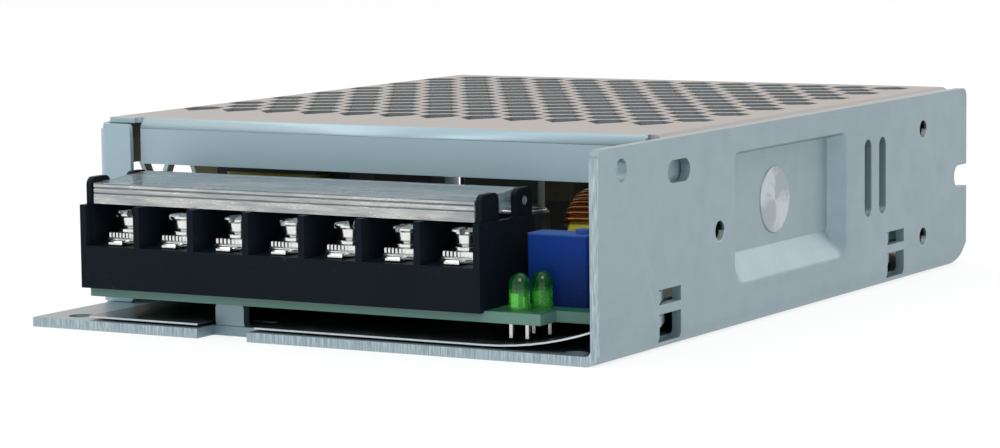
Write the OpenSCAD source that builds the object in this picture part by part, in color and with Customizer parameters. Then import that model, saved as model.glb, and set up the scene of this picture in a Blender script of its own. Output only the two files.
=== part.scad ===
// Open frame power supply: folded chassis, perforated cover, circuit board with its parts,
// and a seven way screw terminal block under a clear hinged lid.
// The frame's origin is on the underside, in the middle of the length and the width.
// X runs across the terminals, Y runs from the terminals to the back, Z points up.

/* [Chassis] */
// Width over the cover's side and the chassis wall
case_w = 97; // [94:0.5:104]
// Length of the chassis
case_l = 129; // [126:0.5:138]
// Height to the top of the cover
case_h = 29.5; // [29:0.5:34]
// Thickness of the chassis sheet
base_t = 1.4; // [1.2:0.1:1.6]
// Inside radius of the chassis bend
base_bend_r = 0.8; // [0.5:0.1:1.2]
// How far the side wall stops below the top of the cover
wall_drop = 0.3; // [0.2:0.1:1]
// Inset of the shelf's free side from the cover's side
shelf_inset = 2; // [1:0.1:3]
// Diameter of the two shelf screw holes
shelf_hole_d = 3.6; // [3:0.1:4]
// Diameter of the tapped side holes
tapped_hole_d = 2.9; // [2.5:0.1:3.2]

/* [Side wall recess] */
// Depth of the recess pressed into the side wall
recess_depth = 2.5; // [1.5:0.1:2.8]
// Length of the recess at the outside
recess_l = 39; // [34:0.5:42]
// Height of the recess at the outside
recess_h = 19.2; // [16:0.1:19.6]

/* [Cover] */
// Thickness of the cover sheet
cover_t = 0.8; // [0.6:0.1:1]
// Distance from the front edge of the chassis to the cover
cover_setback = 20.7; // [20:0.1:24]
// Height of the cover's front flap
flap_h = 6.9; // [5:0.1:7]
// Width of the return flange beside the flap
flange_w = 6.2; // [5:0.1:6.4]
// Distance between the middles of neighbouring hexagon holes
vent_pitch = 7.2; // [7:0.1:9]
// Width of a hexagon hole over its flats
vent_w = 5.7; // [4:0.1:6]
// Rows of hexagon holes in the top
vent_rows = 14; // [6:1:14]
// Hexagon holes in one row of the top
vent_columns = 12; // [6:1:12]
// Rows of hexagon holes in the side
side_vent_rows = 2; // [1:1:2]

/* [Circuit board] */
// Height of the circuit board's underside
board_z = 4.9; // [4.5:0.1:5.5]
// Thickness of the circuit board
board_t = 1.6; // [1.2:0.1:1.6]

/* [Terminal block] */
// Number of terminals
ways = 7; // [3:1:7]
// Distance between neighbouring terminals
pitch = 9.5; // [9:0.1:9.8]
// Depth of the terminal block
block_d = 15.4; // [14.5:0.1:16.4]
// Height of the front panel above the board
panel_h = 6; // [5:0.1:7]
// Height of the barriers above the front panel
barrier_h = 6; // [5:0.1:7]
// Thickness of a barrier
barrier_t = 1.05; // [0.8:0.05:1.3]
// Diameter of a terminal screw's head
screw_head_d = 5.4; // [4.5:0.1:6]
// Diameter of a terminal screw's thread
screw_d = 3; // [2.5:0.1:3.5]

/* [Terminal lid] */
// Thickness of the clear lid's walls
lid_t = 1.1; // [0.8:0.1:1.4]
// Height of the lid's front lip
lip_h = 3; // [2.6:0.1:3.6]
// Diameter of the lid's hinge pins
pin_d = 1.3; // [1.1:0.1:1.6]

/* [Components] */
// Diameter of the front capacitor
front_can_d = 8; // [6:0.5:8]
// Height of the front capacitor
front_can_h = 8.2; // [7:0.1:12]
// Diameter of the two bulk capacitors
bulk_can_d = 16; // [12:0.5:18]
// Height of the two bulk capacitors
bulk_can_h = 20.5; // [15:0.5:21]
// Width of the transformer's core
transformer_w = 28; // [24:0.5:30]
// Height of the transformer
transformer_h = 20.5; // [16:0.5:21]
// Outside diameter of the output choke's core
ring_od = 12.4; // [11:0.1:13]
// Diameter of the output choke's wire
ring_wire_d = 0.9; // [0.7:0.05:1]
// Width of the line choke
line_choke_w = 24; // [20:0.5:26]
// Diameter of an indicator lamp
lamp_d = 2.9; // [2.8:0.1:3]

/* [Hidden] */
$fn = 48;
eps = 0.01;
gap = 0.1;

// Chassis: levels and faces that the other pieces take their places from
wall_x = case_w/2;
wall_in = wall_x - base_t;
side_x = -case_w/2;
side_in = side_x + cover_t;
plate_left = side_in + gap;
bend_out = base_bend_r + base_t;
wall_h = case_h - wall_drop;
wall_top_r = 1.4;
wall_tail_cut = 3.4;
shelf_left = side_x + shelf_inset;

// Notch in the shelf, with the bent tab that props the board's front edge
notch_x = -17;
notch_w = 8.6;
notch_d = 4.2;
prop_w = 4.9;
prop_r = 1;
shelf_hole_at = [[side_x + 7.7, 4.2], [wall_x - 5.1, 2.6]];

// Side wall features, by distance from the front edge and height
recess_y = 60.9;
recess_z = 15.9;
recess_slope_side = 1.8;
recess_slope_low = 4.2;
recess_slope_top = 0.7;
hook_slot_y = 23.7;
hook_slot_z = case_h - 5;
hook_slot_l = 6.8;
hook_slot_h = 3.2;
corner_hole_y = 6.6;
corner_hole_z = wall_h - 3.2;
corner_hole_d = 3.2;
tapped_at = [[36.4, 14.8], [110.6, case_h - 5.8], [110.6, 6.3]];
tapped_lip_t = 0.35;
tapped_lip_depth = 1.1;
vent_slot_at = [88.6, 94.2];
vent_slot_w = 2.6;
vent_slot_h = 12.1;
vent_slot_z = 17.7;
tail_notch_z = 14.8;
tail_notch_h = 3.6;
tail_notch_d = 3.5;
tongue_at = [17.5, 96.2];
tongue_l = 6.3;
tongue_h = 1.6;
tongue_bend = 21;
tongue_slit = 0.25;
tongue_window_z = 1.1;

// Upright lugs on the free side, which take the cover's screws
lug_at = [34, 112];
lug_l = 12;
lug_h = 8.6;
lug_x = side_in + gap;
cover_screw_z = 6;
cover_screw_d = 3;
cover_screw_head_d = 5.4;
cover_screw_l = 4;

// Cover
cover_bend_r = 0.8;
cover_bend_out = cover_bend_r + cover_t;
cover_back = case_l - 1.8;
cover_right = wall_in - 0.15;
cover_hem = 3;
hook_l = 9;
hook_h = 8;
flap_gap = 1;
relief_d = 1.4;
rear_flap_gap = 0.6;
vent_row_step = vent_pitch*sin(60);
vent_first_y = cover_setback + 18.8;
vent_middle_x = -1.8;
side_vent_y = cover_setback + 7.6;
side_vent_z = case_h - 6.75;
side_vent_end = 9;

// Circuit board
board_top = board_z + board_t;
board_front = 1.6;
headroom = case_h - cover_t - board_top - 1;
board_left = plate_left + base_t + 0.6;
board_right = wall_in - 1;
board_back = cover_back - cover_t - 1.2;
board_corner_x = side_x + flange_w + 5.4;
board_corner_d = cover_setback + 3;
board_step_x = 38.6;
board_step_d = 4.4;
standoff_at = [[side_x + 10.5, 119], [-2, 60], [wall_in - 7.1, 86]];
standoff_d = 5.5;
thread_d = 3;

// Insulating sheet under the board
sheet_t = 0.25;
sheet_z = base_t + 0.35;
sheet_front = 1;
sheet_flat_x = 30;
sheet_rise = board_z - sheet_z - sheet_t - 0.15;
sheet_run = wall_in - 0.25 - sheet_flat_x;
sheet_curl_r = (sheet_run*sheet_run + sheet_rise*sheet_rise)/(2*sheet_rise);

// Terminal block
block_x = -3.95;
block_front = 0.5;
block_w = ways*pitch + barrier_t;
block_left = block_x - block_w/2;
block_right = block_x + block_w/2;
panel_z = board_top + panel_h - 0.1;
barrier_z = panel_z + barrier_h;
block_lip = 0.3;
block_lip_t = board_front - block_front - gap;
tail_w = 1.6;
tail_t = 0.8;
tail_below = 1.6;
bay_w = pitch - barrier_t;
terminal_x = [for (i = [0:ways - 1]) block_left + barrier_t/2 + (i + 0.5)*pitch];
block_back = block_front + block_d;
tail_y = block_front + 9.6;
back_wall_t = 1.6;
ear_in = 0.35;
ear_t = 0.9;
ear_front_y = block_front + 1.25;
ear_front_l = 4.75;
ear_rear_l = 4.4;
ear_rear_y = block_back - 0.1 - ear_rear_l;
ear_z = barrier_z + 3.95;
ear_r = 1.2;
hinge_y = block_back - 2.2;
hinge_z = barrier_z + 2.15;
pin_clear = 0.05;
contact_t = 0.8;
contact_w = 6.8;
contact_nose_w = 2.8;
screw_y = block_front + 4.4;
clamp_w = 6.4;
clamp_t = 1;
collar_t = 0.6;
screw_head_h = 2.4;
screw_z = panel_z + contact_t + clamp_t + collar_t;

// Terminal lid
lid_gap = 0.3;
lid_left = block_left + ear_in + ear_t + lid_gap;
lid_right = block_right - ear_in - ear_t - lid_gap;
lid_front = block_front + 1.4;
lid_low = barrier_z + gap;
lid_top = lid_low + lip_h;
lid_rise = 0.7;
lid_web_t = 1;
lid_barrel_r = 1.15;
lid_groove_r = 0.18;
lid_lip_grooves = [0.7, 1.5];
lid_top_grooves = [2, 3.6, 8];

// Board parts: middles across and from the front edge
lamp_at = [[33.8, 4.4], [35.4, 7.9]];
lamp_lead_pitch = 2.54;
lamp_lead_w = 0.5;
lamp_h = 5.1;
lamp_flange_d = lamp_d + 0.2;
lamp_flange_t = 0.8;
front_can_at = [37.5, 19.2];
output_can_at = [[24.6, 21.4], [13, 22], [2.4, 22]];
output_can_d = 8;
output_can_h = 12.2;
ring_at = [32.6, 30.4];
ring_id = 6;
ring_h = 5;
ring_z = board_top + ring_od/2 + ring_wire_d + gap;
ring_start = -45;
ring_span = 293;
ring_clear = 0.12;
ring_lead_d = ring_wire_d*0.8;
ring_turn_r = ring_od/2 + ring_clear + ring_wire_d/2;
ring_lead_at = [for (e = [[-0.9, 22, 0.5], [1.9, -45, 0.5]])
  [ring_at[0] + e[0], ring_at[1] - ring_turn_r*cos(e[1]), ring_z + ring_turn_r*sin(e[1]) + e[2]]];
line_choke_at = [side_x + 25.7, 35];
line_choke_l = 15;
line_choke_h = 19;
line_choke_core_d = 7;
line_choke_leg = 6.4;
line_choke_rail = 2;
band_t = 0.7;
film_at = [side_x + 15.5, 52];
film_size = [18, 8.5, 15.5];
disc_d = 8;
disc_x = max(-4, line_choke_at[0] + (line_choke_w + disc_d)/2 + 1.5);
disc_at = [[disc_x, 37], [disc_x + 10, 37]];
disc_t = 3.6;
fuse_at = [side_x + 5.9, 36];
fuse_d = 5.2;
fuse_l = 20;
fuse_cap_l = 5;
fuse_clip_w = 4;
varistor_at = [-30, 22];
varistor_d = 10;
varistor_t = 4;
thermistor_at = [-17, 21];
thermistor_d = 11;
thermistor_t = 5;
bridge_at = [side_x + 34.5, 50];
bridge_size = [15, 4, 11];
bulk_at = [[side_x + 11.5, 68.5], [side_x + 11.5, 87.5]];
transformer_at = [-6, 84];
transformer_l = 24;
transformer_core_d = 9;
transformer_leg = 7.6;
transformer_rail = 2.5;
transformer_core_h = min(transformer_h, headroom) - transformer_rail;
line_choke_core_h = min(line_choke_h, headroom) - line_choke_rail;
bobbin_flange_t = 1;
pad_t = 0.3;
device_at = [50, 68];
device_w = 10;
device_h = 14;
device_t = 4.4;
device_z = board_top + 4.2;
device_lead_w = 0.8;
device_lead_pitch = 2.54;
device_face_x = wall_in - recess_depth - pad_t;
device_lead_x = device_face_x - device_t + 1.7;
spring_t = 0.6;
spring_foot = 5.2;
spring_w = 5;
spring_up = 6;
spring_z = device_z + spring_up;
rivet_d = 2.4;
rivet_head_d = 4;
rivet_grip = 0.9;
chip_at = [18, 104];
chip_size = [9.6, 6.4, 3.4];
opto_at = [8, 62];
opto_size = [4.6, 6.4, 3.5];
trimmer_at = [36.8, 12];
trimmer_size = [9.5, 4.8, 10];
trimmer_screw_d = 2.4;
trimmer_screw_h = 0.6;
trimmer_screw_x = 3;
card_at = [15, 34];
card_size = [12, 1.2, 17];
resistor_at = [[20, 80], [20, 86], [26, 94]];
resistor_d = 3.6;
resistor_l = 9;

// Puts a piece drawn from the front edge into the frame
module from_front() {
  translate([0, -case_l/2, 0]) children();
}

// Rounded rectangle with its lowest corner at the origin
module rounded_plan(w, d, r) {
  translate([r, 0]) square([w - 2*r, d]);
  translate([0, r]) square([w, d - 2*r]);
  for (x = [r, w - r], y = [r, d - r]) translate([x, y]) circle(r);
}

// Plate in the plane of the side wall, from 2D shapes drawn as distance and height
module through_wall(x0, x1) {
  translate([x0, 0, 0])
    rotate([90, 0, 90])
      linear_extrude(x1 - x0) children();
}

// Slot with round ends, its middle at the origin, longer across or longer upright
module slot_plan(l, h) {
  if (l >= h) {
    square([l - h, h], center = true);
    for (s = [-1, 1]) translate([s*(l - h)/2, 0]) circle(h/2);
  } else {
    square([l, h - l], center = true);
    for (s = [-1, 1]) translate([0, s*(h - l)/2]) circle(l/2);
  }
}

// L shaped section of a folded sheet, with a round bend at the lower right
module folded_section(left, right, height, t, r_out) {
  difference() {
    union() {
      translate([left, 0]) square([right - left - r_out, t]);
      translate([right - t, r_out]) square([t, height - r_out]);
      translate([right - r_out, r_out]) circle(r_out);
    }
    translate([right - r_out, r_out]) circle(r_out - t);
    translate([right - 2*r_out - 1, t]) square([r_out + 1, r_out*2]);
    translate([right - 2*r_out - 1, r_out]) square([2*r_out + 1 - t, height]);
  }
}

// Solid of the pressed recess, grown by the sheet for the bump that it leaves inside
module recess_form(x_out, depth, grow) {
  y0 = recess_y - recess_l/2 - grow;
  y1 = recess_y + recess_l/2 + grow;
  z0 = recess_z - recess_h/2 - grow;
  z1 = recess_z + recess_h/2 + grow;
  x_in = x_out - depth;
  hull() {
    for (y = [y0 + 3, y1 - 3])
      translate([x_out - eps, y, z0 + 3]) rotate([0, 90, 0]) cylinder(r = 3, h = eps, $fn = 32);
    for (y = [y0 + 1.2, y1 - 1.2])
      translate([x_out - eps, y, z1 - 1.2]) rotate([0, 90, 0]) cylinder(r = 1.2, h = eps, $fn = 32);
    for (y = [y0 + recess_slope_side + 1, y1 - recess_slope_side - 1])
      for (z = [z0 + recess_slope_low + 1, z1 - recess_slope_top - 1])
        translate([x_in, y, z]) rotate([0, 90, 0]) cylinder(r = 1, h = eps, $fn = 32);
  }
}

// Tongue lanced out of the wall and bent inwards, with its front end left on
module board_tongue(y, z) {
  translate([wall_x, y, z])
    rotate([0, 0, tongue_bend])
      translate([-base_t, 0, 0]) cube([base_t, tongue_l, tongue_h]);
}

module wall_openings() {
  translate([corner_hole_y, corner_hole_z]) circle(d = corner_hole_d);
  translate([hook_slot_y, hook_slot_z]) slot_plan(hook_slot_l, hook_slot_h);
  for (p = tapped_at) translate(p) circle(d = tapped_hole_d);
  for (y = vent_slot_at) translate([y, vent_slot_z]) slot_plan(vent_slot_w, vent_slot_h);
  translate([case_l - tail_notch_d, tail_notch_z]) circle(d = tail_notch_h);
  translate([case_l - tail_notch_d, tail_notch_z - tail_notch_h/2])
    square([tail_notch_d + 1, tail_notch_h]);
  for (y = tongue_at) {
    translate([y, board_top + gap - tongue_slit])
      square([tongue_l + tongue_slit, tongue_h + 2*tongue_slit]);
    translate([y, tongue_window_z])
      square([tongue_l + tongue_slit, board_z - gap + tongue_slit - tongue_window_z]);
  }
}

// What is trimmed off the wall's corners
module wall_trim() {
  for (end = [[0, 0], [case_l, 180]])
    translate([end[0], wall_h])
      mirror([end[1]/180, 0])
        difference() {
          translate([-1, -wall_top_r]) square([wall_top_r + 1, wall_top_r + 1]);
          translate([wall_top_r, -wall_top_r]) circle(wall_top_r);
        }
  polygon([[case_l - wall_tail_cut, -1], [case_l + 1, -1], [case_l + 1, bend_out + 1.3],
           [case_l, bend_out + 1.3], [case_l - wall_tail_cut, bend_out*0.3]]);
}

// Bent up tab at the back of the shelf's notch
module prop_tab() {
  x0 = notch_x + 0.4;
  intersection() {
    translate([x0 + prop_w, 0, 0])
      rotate([90, 0, -90])
        linear_extrude(prop_w)
          folded_section(-notch_d - 2*bend_out, -notch_d, board_z, base_t, bend_out);
    translate([x0, notch_d + 3*bend_out, -2])
      rotate([90, 0, 0])
        linear_extrude(4*bend_out) rounded_plan(prop_w, board_z + 2, prop_r);
  }
}

module screw_lug(y) {
  translate([0, y + lug_l/2, 0])
    mirror([1, 0, 0])
      rotate([90, 0, 0])
        linear_extrude(lug_l)
          folded_section(-lug_x - 3*bend_out, -lug_x, lug_h, base_t, bend_out);
}

module base_chassis() {
  color("lightsteelblue") from_front() difference() {
    union() {
      difference() {
        translate([0, case_l, 0])
          rotate([90, 0, 0])
            linear_extrude(case_l)
              folded_section(plate_left, wall_x, wall_h, base_t, bend_out);
        through_wall(wall_in - bend_out - 2, wall_x + 1) wall_trim();
        through_wall(wall_in - 0.6, wall_x + 1) wall_openings();
        translate([notch_x, -1, -1]) cube([notch_w, notch_d + 1, base_t + 2]);
        translate([plate_left - 1, -1, -1])
          cube([shelf_left - plate_left + 1, cover_setback + 1, base_t + 2]);
        for (p = shelf_hole_at)
          translate([p[0], p[1], -1]) cylinder(d = shelf_hole_d, h = base_t + 2);
        for (y = lug_at)
          translate([plate_left - 1, y - lug_l/2 - 0.6, -1])
            cube([bend_out + 1.4, lug_l + 1.2, base_t + 2]);
      }
      recess_form(wall_in + eps, recess_depth, base_t*0.6);
      for (y = tongue_at, z = [board_top + gap, board_z - gap - tongue_h]) board_tongue(y, z);
      for (p = tapped_at)
        translate([wall_in - tapped_lip_depth, p[0], p[1]])
          rotate([0, 90, 0]) cylinder(d = tapped_hole_d + 2*tapped_lip_t, h = tapped_lip_depth + base_t/2);
      prop_tab();
      for (y = lug_at) screw_lug(y);
    }
    recess_form(wall_x + eps, recess_depth, 0);
    for (p = tapped_at)
      translate([wall_in - tapped_lip_depth - 1, p[0], p[1]])
        rotate([0, 90, 0]) cylinder(d = tapped_hole_d, h = base_t + tapped_lip_depth + 2);
    for (p = standoff_at)
      translate([p[0], p[1], -1]) cylinder(d = thread_d + gap, h = base_t + 2);
    for (y = lug_at) cover_screw_hole(y, gap/2);
    translate([wall_in - recess_depth - 1, (device_at[0] + device_at[1])/2, spring_z + spring_w/2])
      rotate([0, 90, 0]) cylinder(d = rivet_d + gap, h = 1 + rivet_grip + gap/2);
  }
}

// Countersunk seat and thread hole of a cover screw, wider than the screw by a clearance
module cover_screw_hole(y, clear) {
  head_r = cover_screw_head_d/2;
  shank_r = cover_screw_d/2;
  translate([side_x, y, cover_screw_z])
    rotate([0, 90, 0])
      rotate_extrude()
        polygon([[0, -clear], [head_r + clear, -clear], [head_r + clear, clear],
                 [shank_r + clear, head_r - shank_r + clear], [shank_r + clear, cover_screw_l + clear],
                 [0, cover_screw_l + clear]]);
}

module cover_screws() {
  color("silver") from_front()
    for (y = lug_at) difference() {
      cover_screw_hole(y, 0);
      for (a = [0, 90])
        translate([side_x, y, cover_screw_z])
          rotate([a, 0, 0]) cube([1.6, 3, 0.7], center = true);
    }
}

// Staggered hexagon holes, with a side of each hexagon towards its neighbour in the row
module hexagons(columns, rows, step, row_step, w) {
  for (r = [0:rows - 1], c = [0:columns - 1])
    translate([(c - (columns - 1)/2)*step + (r % 2 - 0.5)*step/2, r*row_step])
      rotate(30) circle(d = w/cos(30), $fn = 6);
}

// Columns of hexagons in the side, placed by distance and height
module side_hexagons() {
  columns = floor((cover_back - side_vent_end - side_vent_y)/vent_row_step);
  for (c = [0:columns], r = [0:side_vent_rows - 1])
    translate([side_vent_y + c*vent_row_step, side_vent_z - r*vent_pitch - (c + 1) % 2*vent_pitch/2])
      circle(d = vent_w/cos(30), $fn = 6);
}

// Top, side and hem of the cover as one folded section
module cover_section(top_r) {
  w = cover_right - side_x;
  translate([side_x, 0]) square([cover_t, case_h - top_r]);
  translate([side_x + top_r, case_h - cover_t]) square([w - 2*top_r, cover_t]);
  translate([cover_right - cover_t, case_h - cover_hem]) square([cover_t, cover_hem - top_r]);
  for (s = [0, 1])
    translate([side_x + top_r + s*(w - 2*top_r), case_h - top_r])
      intersection() {
        difference() {
          circle(top_r);
          circle(top_r - cover_t);
        }
        translate([-(1 - s)*top_r, 0]) square(top_r);
      }
}

// Flap bent down from the top, drawn as distance outwards and height
module flap_section(low) {
  r = cover_bend_out;
  translate([-cover_t, low]) square([cover_t, case_h - r - low]);
  translate([-r, case_h - r]) intersection() {
    difference() {
      circle(r);
      circle(r - cover_t);
    }
    square(r);
  }
}

module cover() {
  flap_left = side_x + flange_w + flap_gap;
  flap_right = cover_right - cover_bend_out - relief_d/2;
  top_l = cover_back - cover_setback;
  rear_low = base_t + rear_flap_gap;
  side_low = gap;
  color("silver") from_front() difference() {
    union() {
      intersection() {
        translate([0, cover_back - cover_bend_out, 0])
          rotate([90, 0, 0])
            linear_extrude(top_l - 2*cover_bend_out) cover_section(cover_bend_out);
        translate([side_x - 1, 0, side_low]) cube([case_w, case_l, case_h]);
      }
      translate([side_x + cover_bend_out, cover_setback, case_h - cover_t])
        cube([flange_w - cover_bend_out + flap_gap, cover_bend_out, cover_t]);
      translate([flap_left, cover_setback, 0])
        rotate([90, 0, -90])
          mirror([0, 0, 1]) linear_extrude(flap_right - flap_left) flap_section(case_h - flap_h);
      translate([side_x + cover_bend_out + rear_flap_gap, cover_back, 0])
        rotate([90, 0, 90])
          linear_extrude(flap_right - side_x - cover_bend_out - rear_flap_gap)
            flap_section(rear_low);
      translate([side_x + cover_bend_out, cover_setback + cover_bend_out, base_t + gap])
        linear_extrude(case_h - cover_bend_out - base_t - 2*gap) corner_bend();
      translate([side_x + cover_bend_out, cover_setback, base_t + gap])
        rotate([90, 0, 0]) mirror([0, 0, 1])
          linear_extrude(cover_t)
            flange_plan(flange_w - cover_bend_out, case_h - cover_t - base_t - 2*gap);
      translate([cover_right - cover_t, cover_setback + cover_bend_out, case_h - hook_h])
        cube([cover_t, hook_l, hook_h - cover_bend_out]);
    }
    translate([vent_middle_x, vent_first_y, case_h - 2])
      linear_extrude(3) hexagons(vent_columns, vent_rows, vent_pitch, vent_row_step, vent_w);
    through_wall(side_x - 1, side_in + 1) side_hexagons();
    for (x = [flap_left - flap_gap/2, flap_right + relief_d/4])
      translate([x, cover_setback + relief_d/3, case_h - 3]) cylinder(d = relief_d, h = 4);
    through_wall(cover_right - cover_t - 1, cover_right + 1)
      translate([hook_slot_y + 5.2, hook_slot_z]) slot_plan(hook_slot_l/2, hook_slot_h - 0.6);
    for (y = lug_at) cover_screw_hole(y, gap/2);
  }
}

// Round corner between the cover's side and its return flange, seen from above
module corner_bend() {
  intersection() {
    difference() {
      circle(cover_bend_out);
      circle(cover_bend_out - cover_t);
    }
    translate([-cover_bend_out, -cover_bend_out]) square(cover_bend_out);
  }
}

// Return flange with its two free corners rounded
module flange_plan(w, h) {
  r = 0.8;
  square([w - r, h]);
  translate([0, r]) square([w, h - 2*r]);
  for (y = [r, h - r]) translate([w - r, y]) circle(r);
}

// Thin sheet under the board: flat, then curled up to the side wall
module insulation_sheet() {
  flat_left = board_left;
  color("darkslategray", 0.8) from_front() difference() {
    union() {
      translate([flat_left, sheet_front, sheet_z])
        cube([sheet_flat_x - flat_left, board_back - sheet_front, sheet_t]);
      translate([0, board_back, sheet_z])
        rotate([90, 0, 0])
          linear_extrude(board_back - sheet_front) intersection() {
            translate([sheet_flat_x, sheet_curl_r]) difference() {
              circle(sheet_curl_r, $fn = 96);
              circle(sheet_curl_r - sheet_t, $fn = 96);
            }
            translate([sheet_flat_x, -1]) square([sheet_run, sheet_rise + 2]);
          }
    }
    translate([flat_left - 1, sheet_front - 1, 0])
      cube([board_corner_x - flat_left + 1, board_corner_d - sheet_front + 1, board_z]);
    translate([notch_x - 0.6, sheet_front - 1, 0])
      cube([notch_w + 1.2, notch_d + bend_out + 1, board_z]);
    for (y = tongue_at)
      translate([wall_in - 3.2, y - 1, 0]) cube([4, tongue_l + 1.6, board_z]);
    for (p = standoff_at) translate([p[0], p[1], 0]) cylinder(d = standoff_d + 1.2, h = board_z);
    translate([wall_in - tapped_lip_depth - 1, tapped_at[2][0] - 3, sheet_z + 1]) cube([3, 6, board_z]);
    for (y = lug_at) translate([flat_left - 1, y - lug_l/2 - 1, 0]) cube([3.2, lug_l + 2, board_z]);
  }
}

module circuit_board() {
  color("seagreen") from_front() translate([0, 0, board_z]) linear_extrude(board_t) difference() {
    translate([board_left, board_front]) square([board_right - board_left, board_back - board_front]);
    translate([board_left - 1, board_front - 1])
      square([board_corner_x - board_left + 1, board_corner_d - board_front + 1]);
    translate([board_step_x, board_front - 1]) square([board_right - board_step_x + 1, board_step_d + 1]);
    for (p = standoff_at) translate(p) circle(d = thread_d + 2*gap);
    for (p = lamp_at, s = [-1, 1]) translate([p[0] + s*lamp_lead_pitch/2, p[1]]) circle(d = 0.9);
    for (p = tapped_at) if (p[1] < board_top + tapped_hole_d)
      translate([board_right - 1.4, p[0] - tapped_hole_d]) square([2, 2*tapped_hole_d]);
    for (y = lug_at) translate([board_left - 1, y - 3]) square([3, 6]);
    for (x = terminal_x) translate([x, tail_y]) square([tail_w + 0.3, tail_t + 0.3], center = true);
    for (y = device_at, c = [-1:1])
      translate([device_lead_x, y + c*device_lead_pitch]) circle(d = 1.3);
    for (p = ring_lead_at) translate([p[0], p[1]]) circle(d = ring_wire_d + 2*gap);
  }
}

module board_standoffs() {
  color("khaki") from_front() for (p = standoff_at) translate([p[0], p[1], 0]) difference() {
    union() {
      cylinder(d = thread_d, h = base_t + eps);
      translate([0, 0, base_t]) cylinder(d = standoff_d/cos(30), h = board_z - base_t, $fn = 6);
    }
    translate([0, 0, 1]) cylinder(d = thread_d - 0.6, h = board_z);
  }
}

module board_screws() {
  color("silver") from_front() for (p = standoff_at) translate([p[0], p[1], board_top]) difference() {
    union() {
      pan_head(standoff_d, 1.8);
      translate([0, 0, -board_t - 1.6]) cylinder(d = thread_d - 0.7, h = board_t + 1.6 + eps);
    }
    cross_slot(1.8, 3, 0.7, 0.8);
  }
}

// Round screw head with a chamfered crown, standing on the origin
module pan_head(d, h) {
  cylinder(d = d, h = h*0.6);
  translate([0, 0, h*0.6]) cylinder(d1 = d, d2 = d*0.72, h = h*0.4);
}

module cross_slot(top, l, w, deep) {
  for (a = [0, 90])
    rotate(a) translate([-l/2, -w/2, top - deep]) cube([l, w, deep + 1]);
}

// Moulded block: front panel, floor, barriers, rear wall and the ears that guard the lid
module terminal_body() {
  color("dimgray") from_front() difference() {
    union() {
      translate([block_left, block_front, board_top])
        cube([block_w, block_d, panel_z - board_top]);
      translate([block_left, block_front, board_top - block_lip])
        cube([block_w, block_lip_t, block_lip + 1]);
      for (i = [0:ways])
        translate([block_left + i*pitch, block_front, board_top])
          cube([barrier_t, block_d, barrier_z - board_top]);
      translate([block_left, block_back - back_wall_t, board_top])
        cube([block_w, back_wall_t, barrier_z - board_top]);
      for (x = [block_left + ear_in, block_right - ear_in - ear_t])
        through_wall(x, x + ear_t) {
          translate([ear_front_y, panel_z]) rounded_plan(ear_front_l, ear_z - panel_z, ear_r);
          translate([ear_rear_y, panel_z]) rounded_plan(ear_rear_l, ear_z - panel_z, ear_r);
        }
    }
    for (x = [block_left, block_right - ear_in - ear_t - 1])
      translate([x, hinge_y, hinge_z])
        rotate([0, 90, 0]) cylinder(d = pin_d + 2*pin_clear, h = ear_in + ear_t + 1);
    for (x = terminal_x) {
      translate([x, screw_y, board_top + 1]) cylinder(d = screw_d + 0.6, h = panel_h);
      translate([x - tail_w/2 - gap, tail_y - tail_t/2 - gap, board_top - 1])
        cube([tail_w + 2*gap, tail_t + 2*gap, panel_h + 2]);
      translate([x - bay_w/2 - eps, tail_y - 1.2, panel_z - 0.9]) cube([bay_w + 2*eps, 2.4, 1]);
    }
  }
}

// Contact plates with a narrow nose at the front and a tail down through the board
module terminal_contacts() {
  tail_low = board_z - tail_below;
  color("silver") from_front() for (x = terminal_x) difference() {
    union() {
      translate([x - contact_w/2, block_front + 2.4, panel_z])
        cube([contact_w, tail_y + tail_t/2 - block_front - 2.4, contact_t]);
      translate([x - contact_nose_w/2, block_front + 1.4, panel_z])
        cube([contact_nose_w, 1 + eps, contact_t]);
      translate([x - tail_w/2, tail_y - tail_t/2, tail_low])
        cube([tail_w, tail_t, panel_z + contact_t - tail_low]);
    }
    translate([x, screw_y, panel_z - 1]) cylinder(d = screw_d + gap, h = contact_t + 2);
  }
}

// Square clamp plates, dished a little along their middle
module terminal_clamps() {
  color("silver") from_front() for (x = terminal_x)
    translate([x, screw_y, panel_z + contact_t]) difference() {
      union() {
        translate([-clamp_w/2, -clamp_w/2, 0]) cube([clamp_w, clamp_w, clamp_t]);
        translate([0, 0, clamp_t]) cylinder(d = screw_head_d + 0.8, h = collar_t);
      }
      translate([0, 0, -1]) cylinder(d = screw_d + 2*gap, h = clamp_t + collar_t + 2);
      for (s = [-1, 1])
        translate([0, s*(clamp_w/2 + 0.2), -0.35]) rotate([0, 90, 0])
          cylinder(d = 1.6, h = clamp_w + 1, center = true);
    }
}

module terminal_screws() {
  color("whitesmoke") from_front() for (x = terminal_x)
    translate([x, screw_y, screw_z]) difference() {
      union() {
        pan_head(screw_head_d, screw_head_h);
        translate([0, 0, board_top + 1.6 - screw_z])
          cylinder(d = screw_d, h = screw_z - board_top - 1.6 + eps);
      }
      cross_slot(screw_head_h, screw_head_d*0.62, 0.9, 1.3);
      translate([-screw_head_d/2 - 1, -0.4, screw_head_h - 0.8]) cube([screw_head_d + 2, 0.8, 2]);
    }
}

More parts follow.
